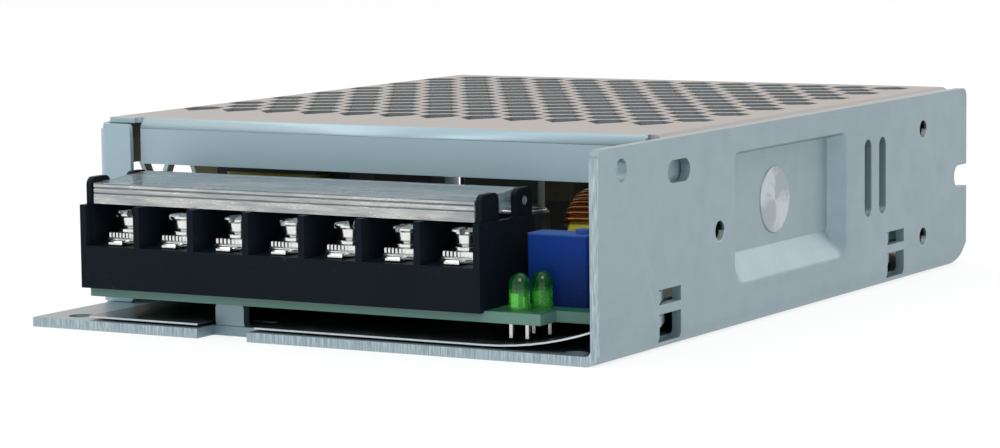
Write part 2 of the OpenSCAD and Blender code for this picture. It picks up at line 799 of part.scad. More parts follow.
// Clear lid: grooved front lip, sloped top, end webs and a barrel with a pin at each end
module terminal_cover() {
  rear = hinge_y + lid_barrel_r;
  slope = lid_rise/(rear - lid_front);
  color("white", 0.4) from_front() {
    through_wall(lid_left, lid_right) difference() {
      union() {
        translate([lid_front, lid_low]) square([lid_t, lip_h - eps]);
        polygon([[lid_front, lid_top - lid_t], [lid_front, lid_top], [rear, lid_top + lid_rise],
                 [rear, hinge_z], [hinge_y, hinge_z], [hinge_y, lid_top + lid_rise - lid_t]]);
        translate([hinge_y, hinge_z]) circle(lid_barrel_r);
      }
      for (z = lid_lip_grooves) translate([lid_front, lid_top - z]) circle(lid_groove_r, $fn = 4);
      for (y = lid_top_grooves)
        translate([lid_front + y, lid_top + slope*y]) circle(lid_groove_r, $fn = 4);
    }
    for (x = [lid_left, lid_right - lid_web_t])
      through_wall(x, x + lid_web_t)
        polygon([[lid_front + lid_t/2, lid_low], [lid_front + lid_t/2, lid_top - lid_t/2],
                 [hinge_y, lid_top + lid_rise - lid_t/2], [hinge_y, hinge_z - lid_barrel_r/2]]);
    for (x = [lid_left - lid_gap - ear_t, lid_right - eps])
      translate([x, hinge_y, hinge_z])
        rotate([0, 90, 0]) cylinder(d = pin_d, h = ear_t + lid_gap + eps);
  }
}

// Indicator lamp, standing on the origin, with a domed top and a flange at its foot
module lamp() {
  cylinder(d = lamp_flange_d, h = lamp_flange_t);
  cylinder(d = lamp_d, h = lamp_h - lamp_d/2);
  translate([0, 0, lamp_h - lamp_d/2]) intersection() {
    sphere(d = lamp_d);
    translate([-lamp_d, -lamp_d, 0]) cube(2*lamp_d);
  }
}

module led_front() {
  color("green") from_front() translate([lamp_at[0][0], lamp_at[0][1], board_top]) lamp();
}

module led_rear() {
  color("green") from_front() translate([lamp_at[1][0], lamp_at[1][1], board_top]) lamp();
}

module led_leads() {
  low = [board_z - 2.3, board_z - 2];
  color("silver") from_front() for (i = [0, 1], s = [-1, 1])
    translate([lamp_at[i][0] + s*lamp_lead_pitch/2 - lamp_lead_w/2, lamp_at[i][1] - lamp_lead_w/2, low[i]])
      cube([lamp_lead_w, lamp_lead_w, board_top - low[i]]);
}

// Electrolytic capacitor: sleeve turned in round the rims, a bead near the foot, a scored top
module can(d, h) {
  r = d/2;
  bead = 0.35;
  difference() {
    rotate_extrude()
      polygon([[0, 0], [r - 0.5, 0], [r, 0.5], [r, 1.6], [r - bead, 2.1], [r, 2.6],
               [r, h - 0.7], [r - 0.7, h], [r - 1.2, h], [r - 1.4, h - 0.3], [0, h - 0.3]]);
    for (a = [0, 90])
      rotate(a) translate([-r*0.6, -0.15, h - 0.5]) cube([r*1.2, 0.3, 1]);
  }
}

module front_capacitor() {
  color("royalblue") from_front()
    translate([front_can_at[0], front_can_at[1], board_top]) can(front_can_d, front_can_h);
}

module output_capacitors() {
  color("black") from_front()
    for (p = output_can_at) translate([p[0], p[1], board_top]) can(output_can_d, output_can_h);
}

module bulk_capacitors() {
  color("black") from_front()
    for (p = bulk_at) translate([p[0], p[1], board_top]) can(bulk_can_d, min(bulk_can_h, headroom));
}

// Turns a ring drawn round the upright axis to stand across the board, its opening at the front
module place_ring() {
  from_front() translate([ring_at[0], ring_at[1], ring_z]) rotate([0, 90, 0]) children();
}

module output_choke_core() {
  w = (ring_od - ring_id)/2;
  color("gold") place_ring()
    rotate_extrude($fn = 64)
      translate([ring_id/2, -ring_h/2]) rounded_plan(w, ring_h, 0.6);
}

// Turns round the ring core as one jacket, and the two ends that go down through the board
module output_choke_winding() {
  w = (ring_od - ring_id)/2 + 2*ring_clear;
  h = ring_h + 2*ring_clear;
  color("chocolate") {
    place_ring()
      rotate([0, 0, ring_start])
        rotate_extrude(angle = ring_span)
          translate([ring_id/2 - ring_clear, -h/2]) difference() {
            translate([-ring_wire_d, -ring_wire_d])
              rounded_plan(w + 2*ring_wire_d, h + 2*ring_wire_d, ring_wire_d);
            square([w, h]);
          }
    for (p = ring_lead_at)
      from_front() translate([p[0], p[1], board_z - 1.2])
        cylinder(d = ring_lead_d, h = p[2] - board_z + 1.2);
  }
}

// Core made of two E halves: a frame with a middle leg, standing on the origin
module e_core(w, d, h, leg, yoke) {
  side = leg/2;
  translate([-w/2, -d/2, 0]) difference() {
    cube([w, d, h]);
    for (x = [side, (w + leg)/2])
      translate([x, -1, yoke]) cube([(w - leg)/2 - side, d + 2, h - 2*yoke]);
  }
}

// Bobbin: tube round the middle leg, two flanges and a rail of pins at the foot
module e_bobbin(w, d, h, leg, yoke, core_d, rail, flange_t) {
  tube_t = 0.7;
  inner = [leg + 2*gap, core_d + 2*gap];
  window_h = h - 2*yoke - 2*gap;
  flange_w = w - leg - 2*gap;
  difference() {
    union() {
      translate([-inner[0]/2 - tube_t, -inner[1]/2 - tube_t, rail + yoke + gap])
        cube([inner[0] + 2*tube_t, inner[1] + 2*tube_t, window_h]);
      for (z = [rail + yoke + gap, rail + h - yoke - gap - flange_t])
        translate([-flange_w/2, -d/2, z]) cube([flange_w, d, flange_t]);
      for (s = [-1, 1])
        translate([-flange_w/2, s*(d + core_d)/4 + s*0.2 - (d - core_d)/4 + 0.2, 0])
          cube([flange_w, (d - core_d)/2 - 0.4, rail + yoke + gap + eps]);
    }
    translate([-inner[0]/2, -inner[1]/2, rail]) cube([inner[0], inner[1], h]);
  }
}

// Winding between the flanges of a bobbin, rounded at its upright corners
module e_winding(w, d, h, leg, yoke, core_d, rail, flange_t) {
  tube = [leg + 2*gap + 1.4, core_d + 2*gap + 1.4];
  low = rail + yoke + gap + flange_t;
  outer = [w - leg - 4*gap, d - 0.8];
  translate([0, 0, low])
    linear_extrude(h - 2*yoke - 2*gap - 2*flange_t) difference() {
      translate([-outer[0]/2, -outer[1]/2]) rounded_plan(outer[0], outer[1], 2);
      square([tube[0] + eps, tube[1] + eps], center = true);
    }
}

module place_line_choke() {
  from_front() translate([line_choke_at[0], line_choke_at[1], board_top]) children();
}

module line_choke_core() {
  color("dimgray") place_line_choke() translate([0, 0, line_choke_rail])
    e_core(line_choke_w, line_choke_core_d, line_choke_core_h, line_choke_leg, line_choke_leg/2);
}

module line_choke_bobbin() {
  color("ivory") place_line_choke()
    e_bobbin(line_choke_w, line_choke_l, line_choke_core_h, line_choke_leg, line_choke_leg/2,
             line_choke_core_d, line_choke_rail, bobbin_flange_t);
}

module line_choke_winding() {
  color("gold") place_line_choke()
    e_winding(line_choke_w, line_choke_l, line_choke_core_h, line_choke_leg, line_choke_leg/2,
              line_choke_core_d, line_choke_rail, bobbin_flange_t);
}

module place_transformer() {
  from_front() translate([transformer_at[0], transformer_at[1], board_top]) children();
}

module transformer_core() {
  color("dimgray") place_transformer() translate([0, 0, transformer_rail])
    e_core(transformer_w, transformer_core_d, transformer_core_h, transformer_leg, transformer_leg/2);
}

module transformer_bobbin() {
  color("black") place_transformer()
    e_bobbin(transformer_w, transformer_l, transformer_core_h, transformer_leg, transformer_leg/2,
             transformer_core_d, transformer_rail, bobbin_flange_t);
}

module transformer_winding() {
  color("gold") place_transformer()
    e_winding(transformer_w, transformer_l, transformer_core_h, transformer_leg, transformer_leg/2,
              transformer_core_d, transformer_rail, bobbin_flange_t);
}

// Block with rounded upright edges, centred on a place on the board
module board_block(at, size, r) {
  translate([at[0] - size[0]/2, at[1] - size[1]/2, board_top])
    linear_extrude(size[2]) rounded_plan(size[0], size[1], r);
}

module film_capacitor() {
  color("gold") from_front() board_block(film_at, film_size, 0.8);
}

// Dipped disc on two straight legs, standing across the board
module disc_part(d, t) {
  lift = 1.2;
  translate([0, 0, lift + d/2]) rotate([90, 0, 0])
    translate([0, 0, -t/2]) rotate_extrude()
      polygon([[0, 0], [d/2 - t*0.3, 0], [d/2, t*0.35], [d/2, t*0.65], [d/2 - t*0.3, t], [0, t]]);
  for (s = [-1, 1]) translate([s*d*0.3, 0, 0]) cylinder(d = 0.7, h = lift + d*0.3);
}

module disc_capacitors() {
  color("royalblue") from_front()
    for (p = disc_at) translate([p[0], p[1], board_top]) disc_part(disc_d, disc_t);
}

module varistor() {
  color("steelblue") from_front()
    translate([varistor_at[0], varistor_at[1], board_top]) disc_part(varistor_d, varistor_t);
}

module inrush_thermistor() {
  color("darkolivegreen") from_front()
    translate([thermistor_at[0], thermistor_at[1], board_top]) disc_part(thermistor_d, thermistor_t);
}

module place_fuse() {
  from_front() translate([fuse_at[0], fuse_at[1], board_top + 1 + fuse_d/2]) children();
}

module fuse_tube() {
  bore = fuse_d - 2.2;
  color("white", 0.5) place_fuse() rotate([90, 0, 0]) difference() {
    cylinder(d = fuse_d - 0.6, h = fuse_l - 1, center = true);
    cylinder(d = bore, h = fuse_l + 1, center = true);
  }
}

// End caps of the fuse, each gripped by a clip that stands on the board
module fuse_caps() {
  clip_t = 0.4;
  inner = fuse_d - 0.6 + eps;
  outer_r = fuse_d/2;
  color("silver") place_fuse() for (s = [-1, 1]) {
    rotate([s*90, 0, 0]) translate([0, 0, fuse_l/2 - fuse_cap_l]) difference() {
      cylinder(d = fuse_d, h = fuse_cap_l);
      translate([0, 0, -1]) cylinder(d = inner, h = fuse_cap_l + 0.5);
    }
    translate([0, s*(fuse_l/2 - fuse_cap_l/2), 0]) {
      rotate([90, 0, 0]) difference() {
        cylinder(r = outer_r + clip_t, h = fuse_clip_w, center = true);
        cylinder(r = outer_r - eps, h = fuse_clip_w + 1, center = true);
        translate([-outer_r - 1, outer_r*0.5, -fuse_clip_w]) cube([fuse_d + 2, fuse_d, 2*fuse_clip_w]);
      }
      translate([-1, -fuse_clip_w/2, -outer_r - 1]) cube([2, fuse_clip_w, 1 - clip_t/2]);
    }
  }
}

module bridge_rectifier() {
  low = 3;
  color("black") from_front() translate([bridge_at[0], bridge_at[1], board_top]) {
    translate([-bridge_size[0]/2, -bridge_size[1]/2, low])
      cube([bridge_size[0], bridge_size[1], bridge_size[2]]);
    for (c = [-1.5:1.5]) translate([c*3.8 - 0.4, -0.4, 0]) cube([0.8, 0.8, low + eps]);
  }
}

// Moulded power device with its face on the thermal pad
module power_device(y) {
  x = device_face_x - device_t;
  translate([x, y - device_w/2, device_z]) difference() {
    cube([device_t, device_w, device_h]);
    translate([-1, -1, device_h - 5.5]) cube([1 + device_t*0.35, device_w + 2, 6]);
  }
}

module switching_transistor() {
  color("black") from_front() power_device(device_at[0]);
}

module output_rectifier() {
  color("black") from_front() power_device(device_at[1]);
}

module device_leads() {
  low = board_z - 1.2;
  color("silver") from_front() for (y = device_at, c = [-1:1])
    translate([device_lead_x - device_lead_w/2, y + c*device_lead_pitch - device_lead_w/2, low])
      cube([device_lead_w, device_lead_w, device_z - low]);
}

module thermal_pad() {
  margin = 0.5;
  color("gainsboro") from_front() for (y = device_at)
    translate([device_face_x, y - device_w/2 - margin, device_z - margin])
      cube([pad_t, device_w + 2*margin, device_h + margin]);
}

// Flat spring that presses both devices to the wall, with a riveted foot between them
module clamp_spring() {
  x_arm = device_face_x - device_t;
  x_foot = wall_in - recess_depth;
  middle = (device_at[0] + device_at[1])/2;
  reach = device_at[1] - middle + device_w/2 - 1.5;
  edge = device_at[1] - middle - device_w/2 - 0.6;
  face = [[x_arm, reach], [x_arm, edge], [x_foot, spring_foot/2]];
  back = [for (p = [[x_foot, spring_foot/2 - 0.3], [x_arm, edge - 0.3], [x_arm, reach]])
    [p[0] - spring_t, p[1]]];
  color("lightgray") from_front() translate([0, middle, 0]) difference() {
    translate([0, 0, spring_z])
      linear_extrude(spring_w)
        polygon(concat(face, [for (i = [2:-1:0]) [face[i][0], -face[i][1]]],
                       [for (i = [2:-1:0]) [back[i][0], -back[i][1]]], back));
    translate([x_foot - 2, 0, spring_z + spring_w/2])
      rotate([0, 90, 0]) cylinder(d = rivet_d + gap, h = 4);
  }
}

// Rivet of the clamp spring, blind in the wall
module clamp_rivet() {
  x_foot = wall_in - recess_depth;
  middle = (device_at[0] + device_at[1])/2;
  color("silver") from_front()
    translate([x_foot, middle, spring_z + spring_w/2]) rotate([0, 90, 0]) {
      translate([0, 0, -spring_t - 0.9]) cylinder(d = rivet_head_d, h = 0.9);
      translate([0, 0, -spring_t - 0.2]) cylinder(d = rivet_d, h = spring_t + rivet_grip + 0.2);
    }
}

// Small package with two rows of legs, standing on the origin
module leaded_chip(size, legs) {
  lift = 0.5;
  translate([-size[0]/2, -size[1]/2, lift]) cube([size[0], size[1], size[2] - lift]);
  for (c = [0:legs - 1], s = [-1, 1])
    translate([(c - (legs - 1)/2)*2.54 - 0.3, s*(size[1]/2 + 0.4) - 0.5, 0])
      cube([0.6, 1, size[2]/2 + 0.3]);
}

module controller_chip() {
  color("black") from_front() translate([chip_at[0], chip_at[1], board_top]) leaded_chip(chip_size, 4);
}

module optocoupler() {
  color("white") from_front() translate([opto_at[0], opto_at[1], board_top]) leaded_chip(opto_size, 2);
}

// Upright box trimmer with its slotted adjusting screw near one end of the top
module voltage_trimmer() {
  color("royalblue") from_front() difference() {
    union() {
      board_block(trimmer_at, trimmer_size, 0.4);
      translate([trimmer_at[0] + trimmer_screw_x, trimmer_at[1], board_top + trimmer_size[2]])
        cylinder(d = trimmer_screw_d, h = trimmer_screw_h);
    }
    translate([trimmer_at[0] + trimmer_screw_x, trimmer_at[1], board_top + trimmer_size[2] + trimmer_screw_h])
      cube([trimmer_screw_d + 1, 0.5, trimmer_screw_h], center = true);
  }
}

// Small upright board on a row of pins
module control_board() {
  low = 1.5;
  color("seagreen") from_front() translate([card_at[0], card_at[1], board_top]) {
    translate([-card_size[0]/2, -card_size[1]/2, low])
      cube([card_size[0], card_size[1], card_size[2] - low]);
    for (c = [-1.5:1.5]) translate([c*2.54 - 0.3, -0.3, 0]) cube([0.6, 0.6, low + eps]);
  }
}

// Resistors lying on the board, thicker at their ends, with bent legs
module snubber_resistors() {
  r = resistor_d/2;
  leg = 0.7;
  color("tan") from_front() for (p = resistor_at)
    translate([p[0], p[1], board_top + r]) {
      rotate([0, 90, 0]) {
        cylinder(r = r*0.85, h = resistor_l*0.6, center = true);
        for (s = [-1, 1]) translate([0, 0, s*resistor_l*0.36]) cylinder(r = r, h = resistor_l*0.28, center = true);
        cylinder(d = leg, h = resistor_l + 4, center = true);
      }
      for (s = [-1, 1]) translate([s*(resistor_l/2 + 2), 0, -r]) cylinder(d = leg, h = r + leg/2);
    }
}

// Solder cones on the underside of the board
module solder_joints() {
  h = 1;
  places = concat(
    [for (p = bulk_at, s = [-1, 1]) [p[0] + s*3.75, p[1]]],
    [for (p = output_can_at, s = [-1, 1]) [p[0] + s*1.75, p[1]]],
    [for (s = [-1, 1]) [front_can_at[0] + s*2.5, front_can_at[1]]],
    [for (c = [-2:2], s = [-1, 1]) [transformer_at[0] + c*4, transformer_at[1] + s*(transformer_l/2 - 3)]],
    [for (c = [-1, 1], s = [-1, 1]) [line_choke_at[0] + c*7, line_choke_at[1] + s*(line_choke_l/2 - 2)]],
    [for (c = [-1.5:1.5]) [bridge_at[0] + c*3.8, bridge_at[1]]],
    [for (c = [-1, 1]) [film_at[0] + c*7.5, film_at[1]]]
  );
  color("lightgray") from_front() for (p = places)
    translate([p[0], p[1], board_z - h]) cylinder(d1 = 0.9, d2 = 2.2, h = h);
}

base_chassis();
cover();
cover_screws();
insulation_sheet();
circuit_board();
board_standoffs();
board_screws();
terminal_body();
terminal_contacts();
terminal_clamps();
terminal_screws();
terminal_cover();
led_front();
led_rear();
led_leads();
front_capacitor();
output_capacitors();
output_choke_core();
output_choke_winding();
line_choke_core();
line_choke_bobbin();
line_choke_winding();
film_capacitor();
disc_capacitors();
fuse_tube();
fuse_caps();
varistor();
inrush_thermistor();
bridge_rectifier();
bulk_capacitors();
transformer_core();
transformer_bobbin();
transformer_winding();
switching_transistor();
output_rectifier();
device_leads();
thermal_pad();
clamp_spring();
clamp_rivet();
controller_chip();
optocoupler();
voltage_trimmer();
control_board();
snubber_resistors();
solder_joints();
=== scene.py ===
import bmesh
import bpy
import numpy as np
from mathutils import Matrix, Vector


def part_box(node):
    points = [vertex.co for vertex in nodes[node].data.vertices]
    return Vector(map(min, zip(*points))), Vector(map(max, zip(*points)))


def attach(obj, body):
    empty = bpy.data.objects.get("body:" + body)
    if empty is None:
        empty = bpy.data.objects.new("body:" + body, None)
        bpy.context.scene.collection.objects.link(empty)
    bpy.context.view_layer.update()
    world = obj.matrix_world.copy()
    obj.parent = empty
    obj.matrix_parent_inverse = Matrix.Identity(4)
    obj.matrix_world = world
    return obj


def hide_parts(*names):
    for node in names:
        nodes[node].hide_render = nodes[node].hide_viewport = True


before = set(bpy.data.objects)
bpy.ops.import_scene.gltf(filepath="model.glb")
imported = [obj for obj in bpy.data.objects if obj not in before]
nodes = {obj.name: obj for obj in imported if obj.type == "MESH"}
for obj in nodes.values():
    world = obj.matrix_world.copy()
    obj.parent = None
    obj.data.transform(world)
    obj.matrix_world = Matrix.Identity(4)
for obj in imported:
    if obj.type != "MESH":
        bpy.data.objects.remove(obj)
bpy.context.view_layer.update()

# Chassis ------------------------------------------------------------------------------------
# Floor and side wall of one zinc plated steel sheet, punched, pressed and folded at the right.
# The sheet is satin with a faint rolling grain, and its sheared edges are bright and ridged.


class Signal:
    """A shader socket. Arithmetic on it adds Math nodes to its finish."""

    def __init__(self, finish, socket):
        self.finish, self.socket = finish, socket

    def math(self, operation, *values):
        return self.finish.node("ShaderNodeMath", {"operation": operation}, dict(enumerate(values)))

    def __add__(self, other):
        return self.math("ADD", self, other)

    def __radd__(self, other):
        return self.math("ADD", other, self)

    def __sub__(self, other):
        return self.math("SUBTRACT", self, other)

    def __rsub__(self, other):
        return self.math("SUBTRACT", other, self)

    def __mul__(self, other):
        return self.math("MULTIPLY", self, other)

    def __rmul__(self, other):
        return self.math("MULTIPLY", other, self)

    def __truediv__(self, other):
        return self.math("DIVIDE", self, other)

    def __pow__(self, other):
        return self.math("POWER", self, other)

    def __abs__(self):
        return self.math("ABSOLUTE", self)


class Finish:
    """A material with one surface shader, built by naming nodes, settings and values."""

    def __init__(self, name):
        self.material = bpy.data.materials.new(name)
        self.material.use_nodes = True
        self.tree = self.material.node_tree
        self.shader = self.tree.nodes["Principled BSDF"]
        self.place = self.node("ShaderNodeTexCoord", output="Object")

    def node(self, kind, settings=None, values=None, output=0):
        made = self.tree.nodes.new(kind)
        for key, value in (settings or {}).items():
            if key == "stops":
                ramp = made.color_ramp.elements
                while len(ramp) < len(value):
                    ramp.new(1)
                for element, (position, colour) in zip(ramp, value):
                    element.position, element.color = position, (*colour, 1)
            else:
                setattr(made, key, value)
        for key, value in (values or {}).items():
            self.plug(made.inputs[key], value)
        return Signal(self, made.outputs[output])

    def plug(self, socket, value):
        if isinstance(value, Signal):
            self.tree.links.new(value.socket, socket)
        elif isinstance(value, tuple) and len(value) == 3 and socket.type == "RGBA":
            socket.default_value = (*value, 1)
        else:
            socket.default_value = value

    def mix(self, factor, first, second):
        return self.node("ShaderNodeMix", {"data_type": "RGBA"}, {0: factor, 6: first, 7: second}, 2)

    def stretched(self, x, y, z):
        """Object place in metres, multiplied along each axis."""
        return self.node("ShaderNodeVectorMath", {"operation": "MULTIPLY"}, {0: self.place, 1: (x, y, z)})

    def noise(self, per_metre, detail=2.0, rough=0.5):
        """Smooth noise with per_metre bumps in a metre, one number or one for each axis."""
        if isinstance(per_metre, tuple):
            vector, scale = self.stretched(*per_metre), 1.0
        else:
            vector, scale = self.place, per_metre
        return self.node("ShaderNodeTexNoise", {}, {"Vector": vector, "Scale": scale, "Detail": detail,
                                                   "Roughness": rough}, 0)

    def rise(self, value, low, high):
        """0 below low, 1 above high, and a smooth step between them."""
        return self.node("ShaderNodeMapRange", {"interpolation_type": "SMOOTHSTEP"},
                         {0: value, 1: low, 2: high, 3: 0.0, 4: 1.0})

    def axis(self, letter):
        return self.node("ShaderNodeSeparateXYZ", {}, {0: self.place}, "XYZ".index(letter))

    def bump(self, height, distance, strength=1.0):
        """Relief of that height in metres."""
        return self.node("ShaderNodeBump", {}, {"Height": height, "Distance": distance, "Strength": strength})

    def math_min(self, first, second):
        return self.node("ShaderNodeMath", {"operation": "MINIMUM"}, {0: first, 1: second})

    def surface(self, values):
        for key, value in values.items():
            self.plug(self.shader.inputs[key], value)
        return self.material


def wear(name, material):
    """Gives a solid of the frame its finish."""
    mesh = nodes[name].data
    mesh.materials.clear()
    mesh.materials.append(material)


# Painted shade for the inside of the tapped holes.
painted_hole_shade = (0.012, 0.014, 0.015)


def plated_sheet(name, pale, deep, grain, front=None, holes=(), face=0.0, flap=None, top=None):
    """Satin zinc plate: two tones in broad clouds, rolling grain and fine scratches. Where they are given,
    a ridged sheared edge at the front, tapped holes with painted shade behind the face and a painted
    highlight on one side of the mouth, and a cover's front flap and top in tones of their own: painted light
    and shade on the flap, painted reflection on the top."""
    f = Finish(name)
    cloud = f.noise(22.0, 3.0)
    spangle = f.noise(260.0, 2.0)
    rolled = f.noise(grain, 3.0, 0.6)
    tone = cloud * 0.55 + spangle * 0.3 + rolled * 0.15
    colour = f.mix(f.rise(tone, 0.36, 0.64), deep, pale)
    rubbed = f.rise(f.noise(90.0, 4.0, 0.65), 0.6, 0.74)
    scratch = f.rise(f.noise(tuple(v * 3.0 for v in grain), 1.0), 0.74, 0.8)
    colour = f.mix(scratch * 0.15, colour, tuple(min(1.0, v * 1.2) for v in pale))
    rough = 0.38 + rolled * 0.04 + cloud * 0.08 - scratch * 0.04 + rubbed * 0.05
    height = rolled * 0.15 + scratch * -0.2 + spangle * 0.3
    if front is not None:
        edge = 1 - f.rise(f.axis("Y"), front + 0.00002, front + 0.00006)
        ridge = f.noise((4200.0, 0.0, 300.0), 2.0, 0.6)
        colour = f.mix(edge * f.rise(ridge, 0.3, 0.8) * 0.8, colour, (0.66, 0.74, 0.77))
        height = height + edge * ridge * 3
        rough = rough + edge * ridge * 0.1
    # Painted shade fills each tapped hole behind the face, and a painted highlight lies on one side of its
    # mouth.
    for y, z, radius in holes:
        away = ((f.axis("Y") - y) ** 2.0 + (f.axis("Z") - z) ** 2.0) ** 0.5
        bored = 1 - f.rise(away, radius + 0.00004, radius + 0.0001)
        hole_highlight_side = f.rise(f.axis("Y") - y - (f.axis("Z") - z) * 2.0, radius * 0.9, radius * 1.3)
        colour = f.mix(bored * (1 - f.rise(f.axis("X"), face - 0.0006, face)), colour, painted_hole_shade)
        mouth = f.rise(f.axis("X"), face - 0.0010, face - 0.0008)
        colour = f.mix(bored * hole_highlight_side * mouth, colour, (0.62, 0.68, 0.70))
    metal = 0.7
    # Painted light and shade on one sheet: the cover's front flap gets a paler, less metallic tone of its
    # own, and its top a greyer, less blue tone of its own as painted reflection.
    if flap is not None:
        flap_painted_shading = 1 - f.rise(f.axis("Y"), flap, flap + 0.0012)
        colour = f.mix(flap_painted_shading, colour, (0.345, 0.455, 0.50))
        metal = flap_painted_shading * -0.4 + 0.7
        top_painted_reflection = f.rise(f.axis("Z"), top - 0.0011, top - 0.0008) * (1 - flap_painted_shading)
        colour = f.mix(top_painted_reflection * 0.9, colour, f.mix(tone, (0.265, 0.285, 0.295), (0.315, 0.335, 0.345)))
    return f.surface({"Base Color": colour, "Metallic": metal, "Roughness": rough,
                      "Normal": f.bump(height, 0.000006, 0.8)})


sheet_grain = (2600.0, 60.0, 2600.0)
chassis_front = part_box("base_chassis")[0].y
wall_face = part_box("base_chassis")[1].x
tapped_radius = 0.00145
tapped_holes = [(chassis_front + y, z, tapped_radius) for y, z in
                ((0.0364, 0.0148), (0.1106, 0.0237), (0.1106, 0.0063))]


recess_depth = 0.0025
recess_middle, recess_half = (chassis_front + 0.0609, 0.0159), (0.0198, 0.0099)
recess_round, floor_share = 0.0015, 0.4
merge_distance, flat_angle = 1e-6, np.radians(1.0)


def pressed_chassis(material):
    """Copy of the chassis whose recess has its rim and its floor's edges rounded, by bevel weights on
    the edges that lie within the recess's outline."""
    mesh = nodes["base_chassis"].data.copy()
    shape = bmesh.new()
    shape.from_mesh(mesh)
    bmesh.ops.remove_doubles(shape, verts=shape.verts, dist=merge_distance)
    bmesh.ops.dissolve_limit(shape, angle_limit=flat_angle, verts=shape.verts, edges=shape.edges)
    weight = shape.edges.layers.float.new("bevel_weight_edge")
    for edge in shape.edges:
        middle = (edge.verts[0].co + edge.verts[1].co) / 2
        within = (abs(middle.y - recess_middle[0]) < recess_half[0]
                  and abs(middle.z - recess_middle[1]) < recess_half[1])
        if within and middle.x > wall_face - recess_depth - 0.00005 and len(edge.link_faces) == 2:
            if edge.calc_face_angle(0.0) > np.radians(18):
                edge[weight] = 1.0 if middle.x > wall_face - recess_depth / 2 else floor_share
    shape.to_mesh(mesh)
    shape.free()
    mesh.materials.clear()
    mesh.materials.append(material)
    mesh.shade_smooth()
    piece = bpy.data.objects.new("pressed_chassis", mesh)
    bpy.context.scene.collection.objects.link(piece)
    rounding = piece.modifiers.new("rounding", "BEVEL")
    rounding.width, rounding.segments, rounding.limit_method = recess_round, 5, "WEIGHT"
    sharp = piece.modifiers.new("facets", "EDGE_SPLIT")
    sharp.split_angle = np.radians(32)
    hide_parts("base_chassis")
    return piece


chassis = pressed_chassis(plated_sheet("zinc_plated_chassis", (0.275, 0.36, 0.40), (0.24, 0.32, 0.36),
                                       sheet_grain, chassis_front, tapped_holes, wall_face))
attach(chassis, "case")

# Inspection sticker ---------------------------------------------------------------------------
# Bare round silver foil, 10 mm wide, stuck to the floor of the wall's recess a little unevenly.


def add_piece(name, points, faces, material, smooth=True):
    """Makes a mesh piece from an array of points and a list or array of faces, in the frame's place."""
    mesh = bpy.data.meshes.new(name)
    corners = np.asarray(points, float).reshape(-1, 3).tolist()
    mesh.from_pydata(corners, [], [list(map(int, q)) for q in faces])
    mesh.materials.append(material)
    mesh.polygons.foreach_set("use_smooth", [smooth] * len(mesh.polygons))
    mesh.update()
    piece = bpy.data.objects.new(name, mesh)
    bpy.context.scene.collection.objects.link(piece)
    return piece


def grid_faces(rows, columns, round_rows=False, round_columns=False):
    """Quads of a grid of points, closed on itself along either way where asked."""
    i = np.arange(rows if round_rows else rows - 1)[:, None]
    j = np.arange(columns if round_columns else columns - 1)[None, :]
    a, b = i * columns + j, i * columns + (j + 1) % columns
    c, d = ((i + 1) % rows) * columns + (j + 1) % columns, ((i + 1) % rows) * columns + j
    return np.stack([a + 0 * j, b + 0 * i, c, d], -1).reshape(-1, 4)


sticker_radius = 0.005
sticker_thick = 0.00012
sticker_middle = (wall_face - recess_depth, chassis_front + 0.0599, 0.017)


def sticker_points(rings=24, spokes=96):
    """Disc in rings and spokes. Its height above the sheet has a shallow ripple and falls to 0 at the rim."""
    r = np.concatenate([[1.0], np.linspace(1, 0, rings)]) * sticker_radius
    a = np.linspace(0, 2 * np.pi, spokes, endpoint=False)
    rr, aa = np.meshgrid(r, a, indexing="ij")
    lift = sticker_thick * (1 + 0.25 * np.sin(3 * aa + 1) * (rr / sticker_radius) ** 2)
    lift[0] = 0.00001
    return np.stack([sticker_middle[0] + lift, sticker_middle[1] + rr * np.cos(aa),
                     sticker_middle[2] + rr * np.sin(aa)], -1)


foil = Finish("silver_foil")
foil_cloud = foil.noise(700.0, 3.0, 0.6)
# Painted sheen: a bright and dark fan that turns about the sticker's middle.
foil_angle = foil.node("ShaderNodeMath", {"operation": "ARCTAN2"}, {
    0: foil.axis("Z") - sticker_middle[2], 1: foil.axis("Y") - sticker_middle[1]})
foil_turn = foil_angle * 2.0 + foil_cloud * 5.0 + 0.5
foil_painted_sheen = foil.node("ShaderNodeMath", {"operation": "SINE"}, {0: foil_turn}) * 0.5 + 0.5
foil_material = foil.surface({
    "Base Color": foil.mix(foil.rise(foil_painted_sheen * 0.7 + foil_cloud * 0.3, 0.2, 0.8),
                           (0.31, 0.36, 0.38), (0.47, 0.52, 0.54)),
    "Metallic": 0.6, "Roughness": 0.36 + foil_cloud * 0.2,
    "Normal": foil.bump(foil_cloud, 0.00004, 0.6)})
points = sticker_points()
sticker = add_piece("bare_sticker", points, grid_faces(points.shape[0], points.shape[1], False, True),
                    foil_material)
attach(sticker, "case")

# Cover ----------------------------------------------------------------------------------------
# Thinner plated sheet, perforated and folded: top, left side, front and back flaps.
# It hooks behind the wall and is held at the left by two countersunk screws.


def dressed_cover(material):
    """Copy of the cover: y falls by flange_forward on the return flange, and on the perforated part
    x and y follow straight lines that set the holes' rows a little closer and further back."""
    mesh = nodes["cover"].data.copy()
    shape = bmesh.new()
    shape.from_mesh(mesh)
    bmesh.ops.remove_doubles(shape, verts=shape.verts, dist=merge_distance)
    low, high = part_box("cover")
    top_skin, side_skin = 0.0009, 0.0017
    for vertex in shape.verts:
        x, y, z = vertex.co
        if x < low.x + flange_reach and y < low.y + flange_depth and z < high.z - top_skin:
            vertex.co.y = y - flange_forward
        holes = low.y + plain_front < y < high.y - plain_back and low.x + side_skin < x < high.x - side_skin
        if holes and z > high.z - top_skin:
            vertex.co.y = first_row + (y - first_row_solid) * row_step / row_step_solid
            vertex.co.x = x - rows_left
    shape.normal_update()
    shape.to_mesh(mesh)
    shape.free()
    mesh.materials.clear()
    mesh.materials.append(material)
    piece = bpy.data.objects.new("perforated_cover", mesh)
    bpy.context.scene.collection.objects.link(piece)
    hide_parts("cover")
    return piece


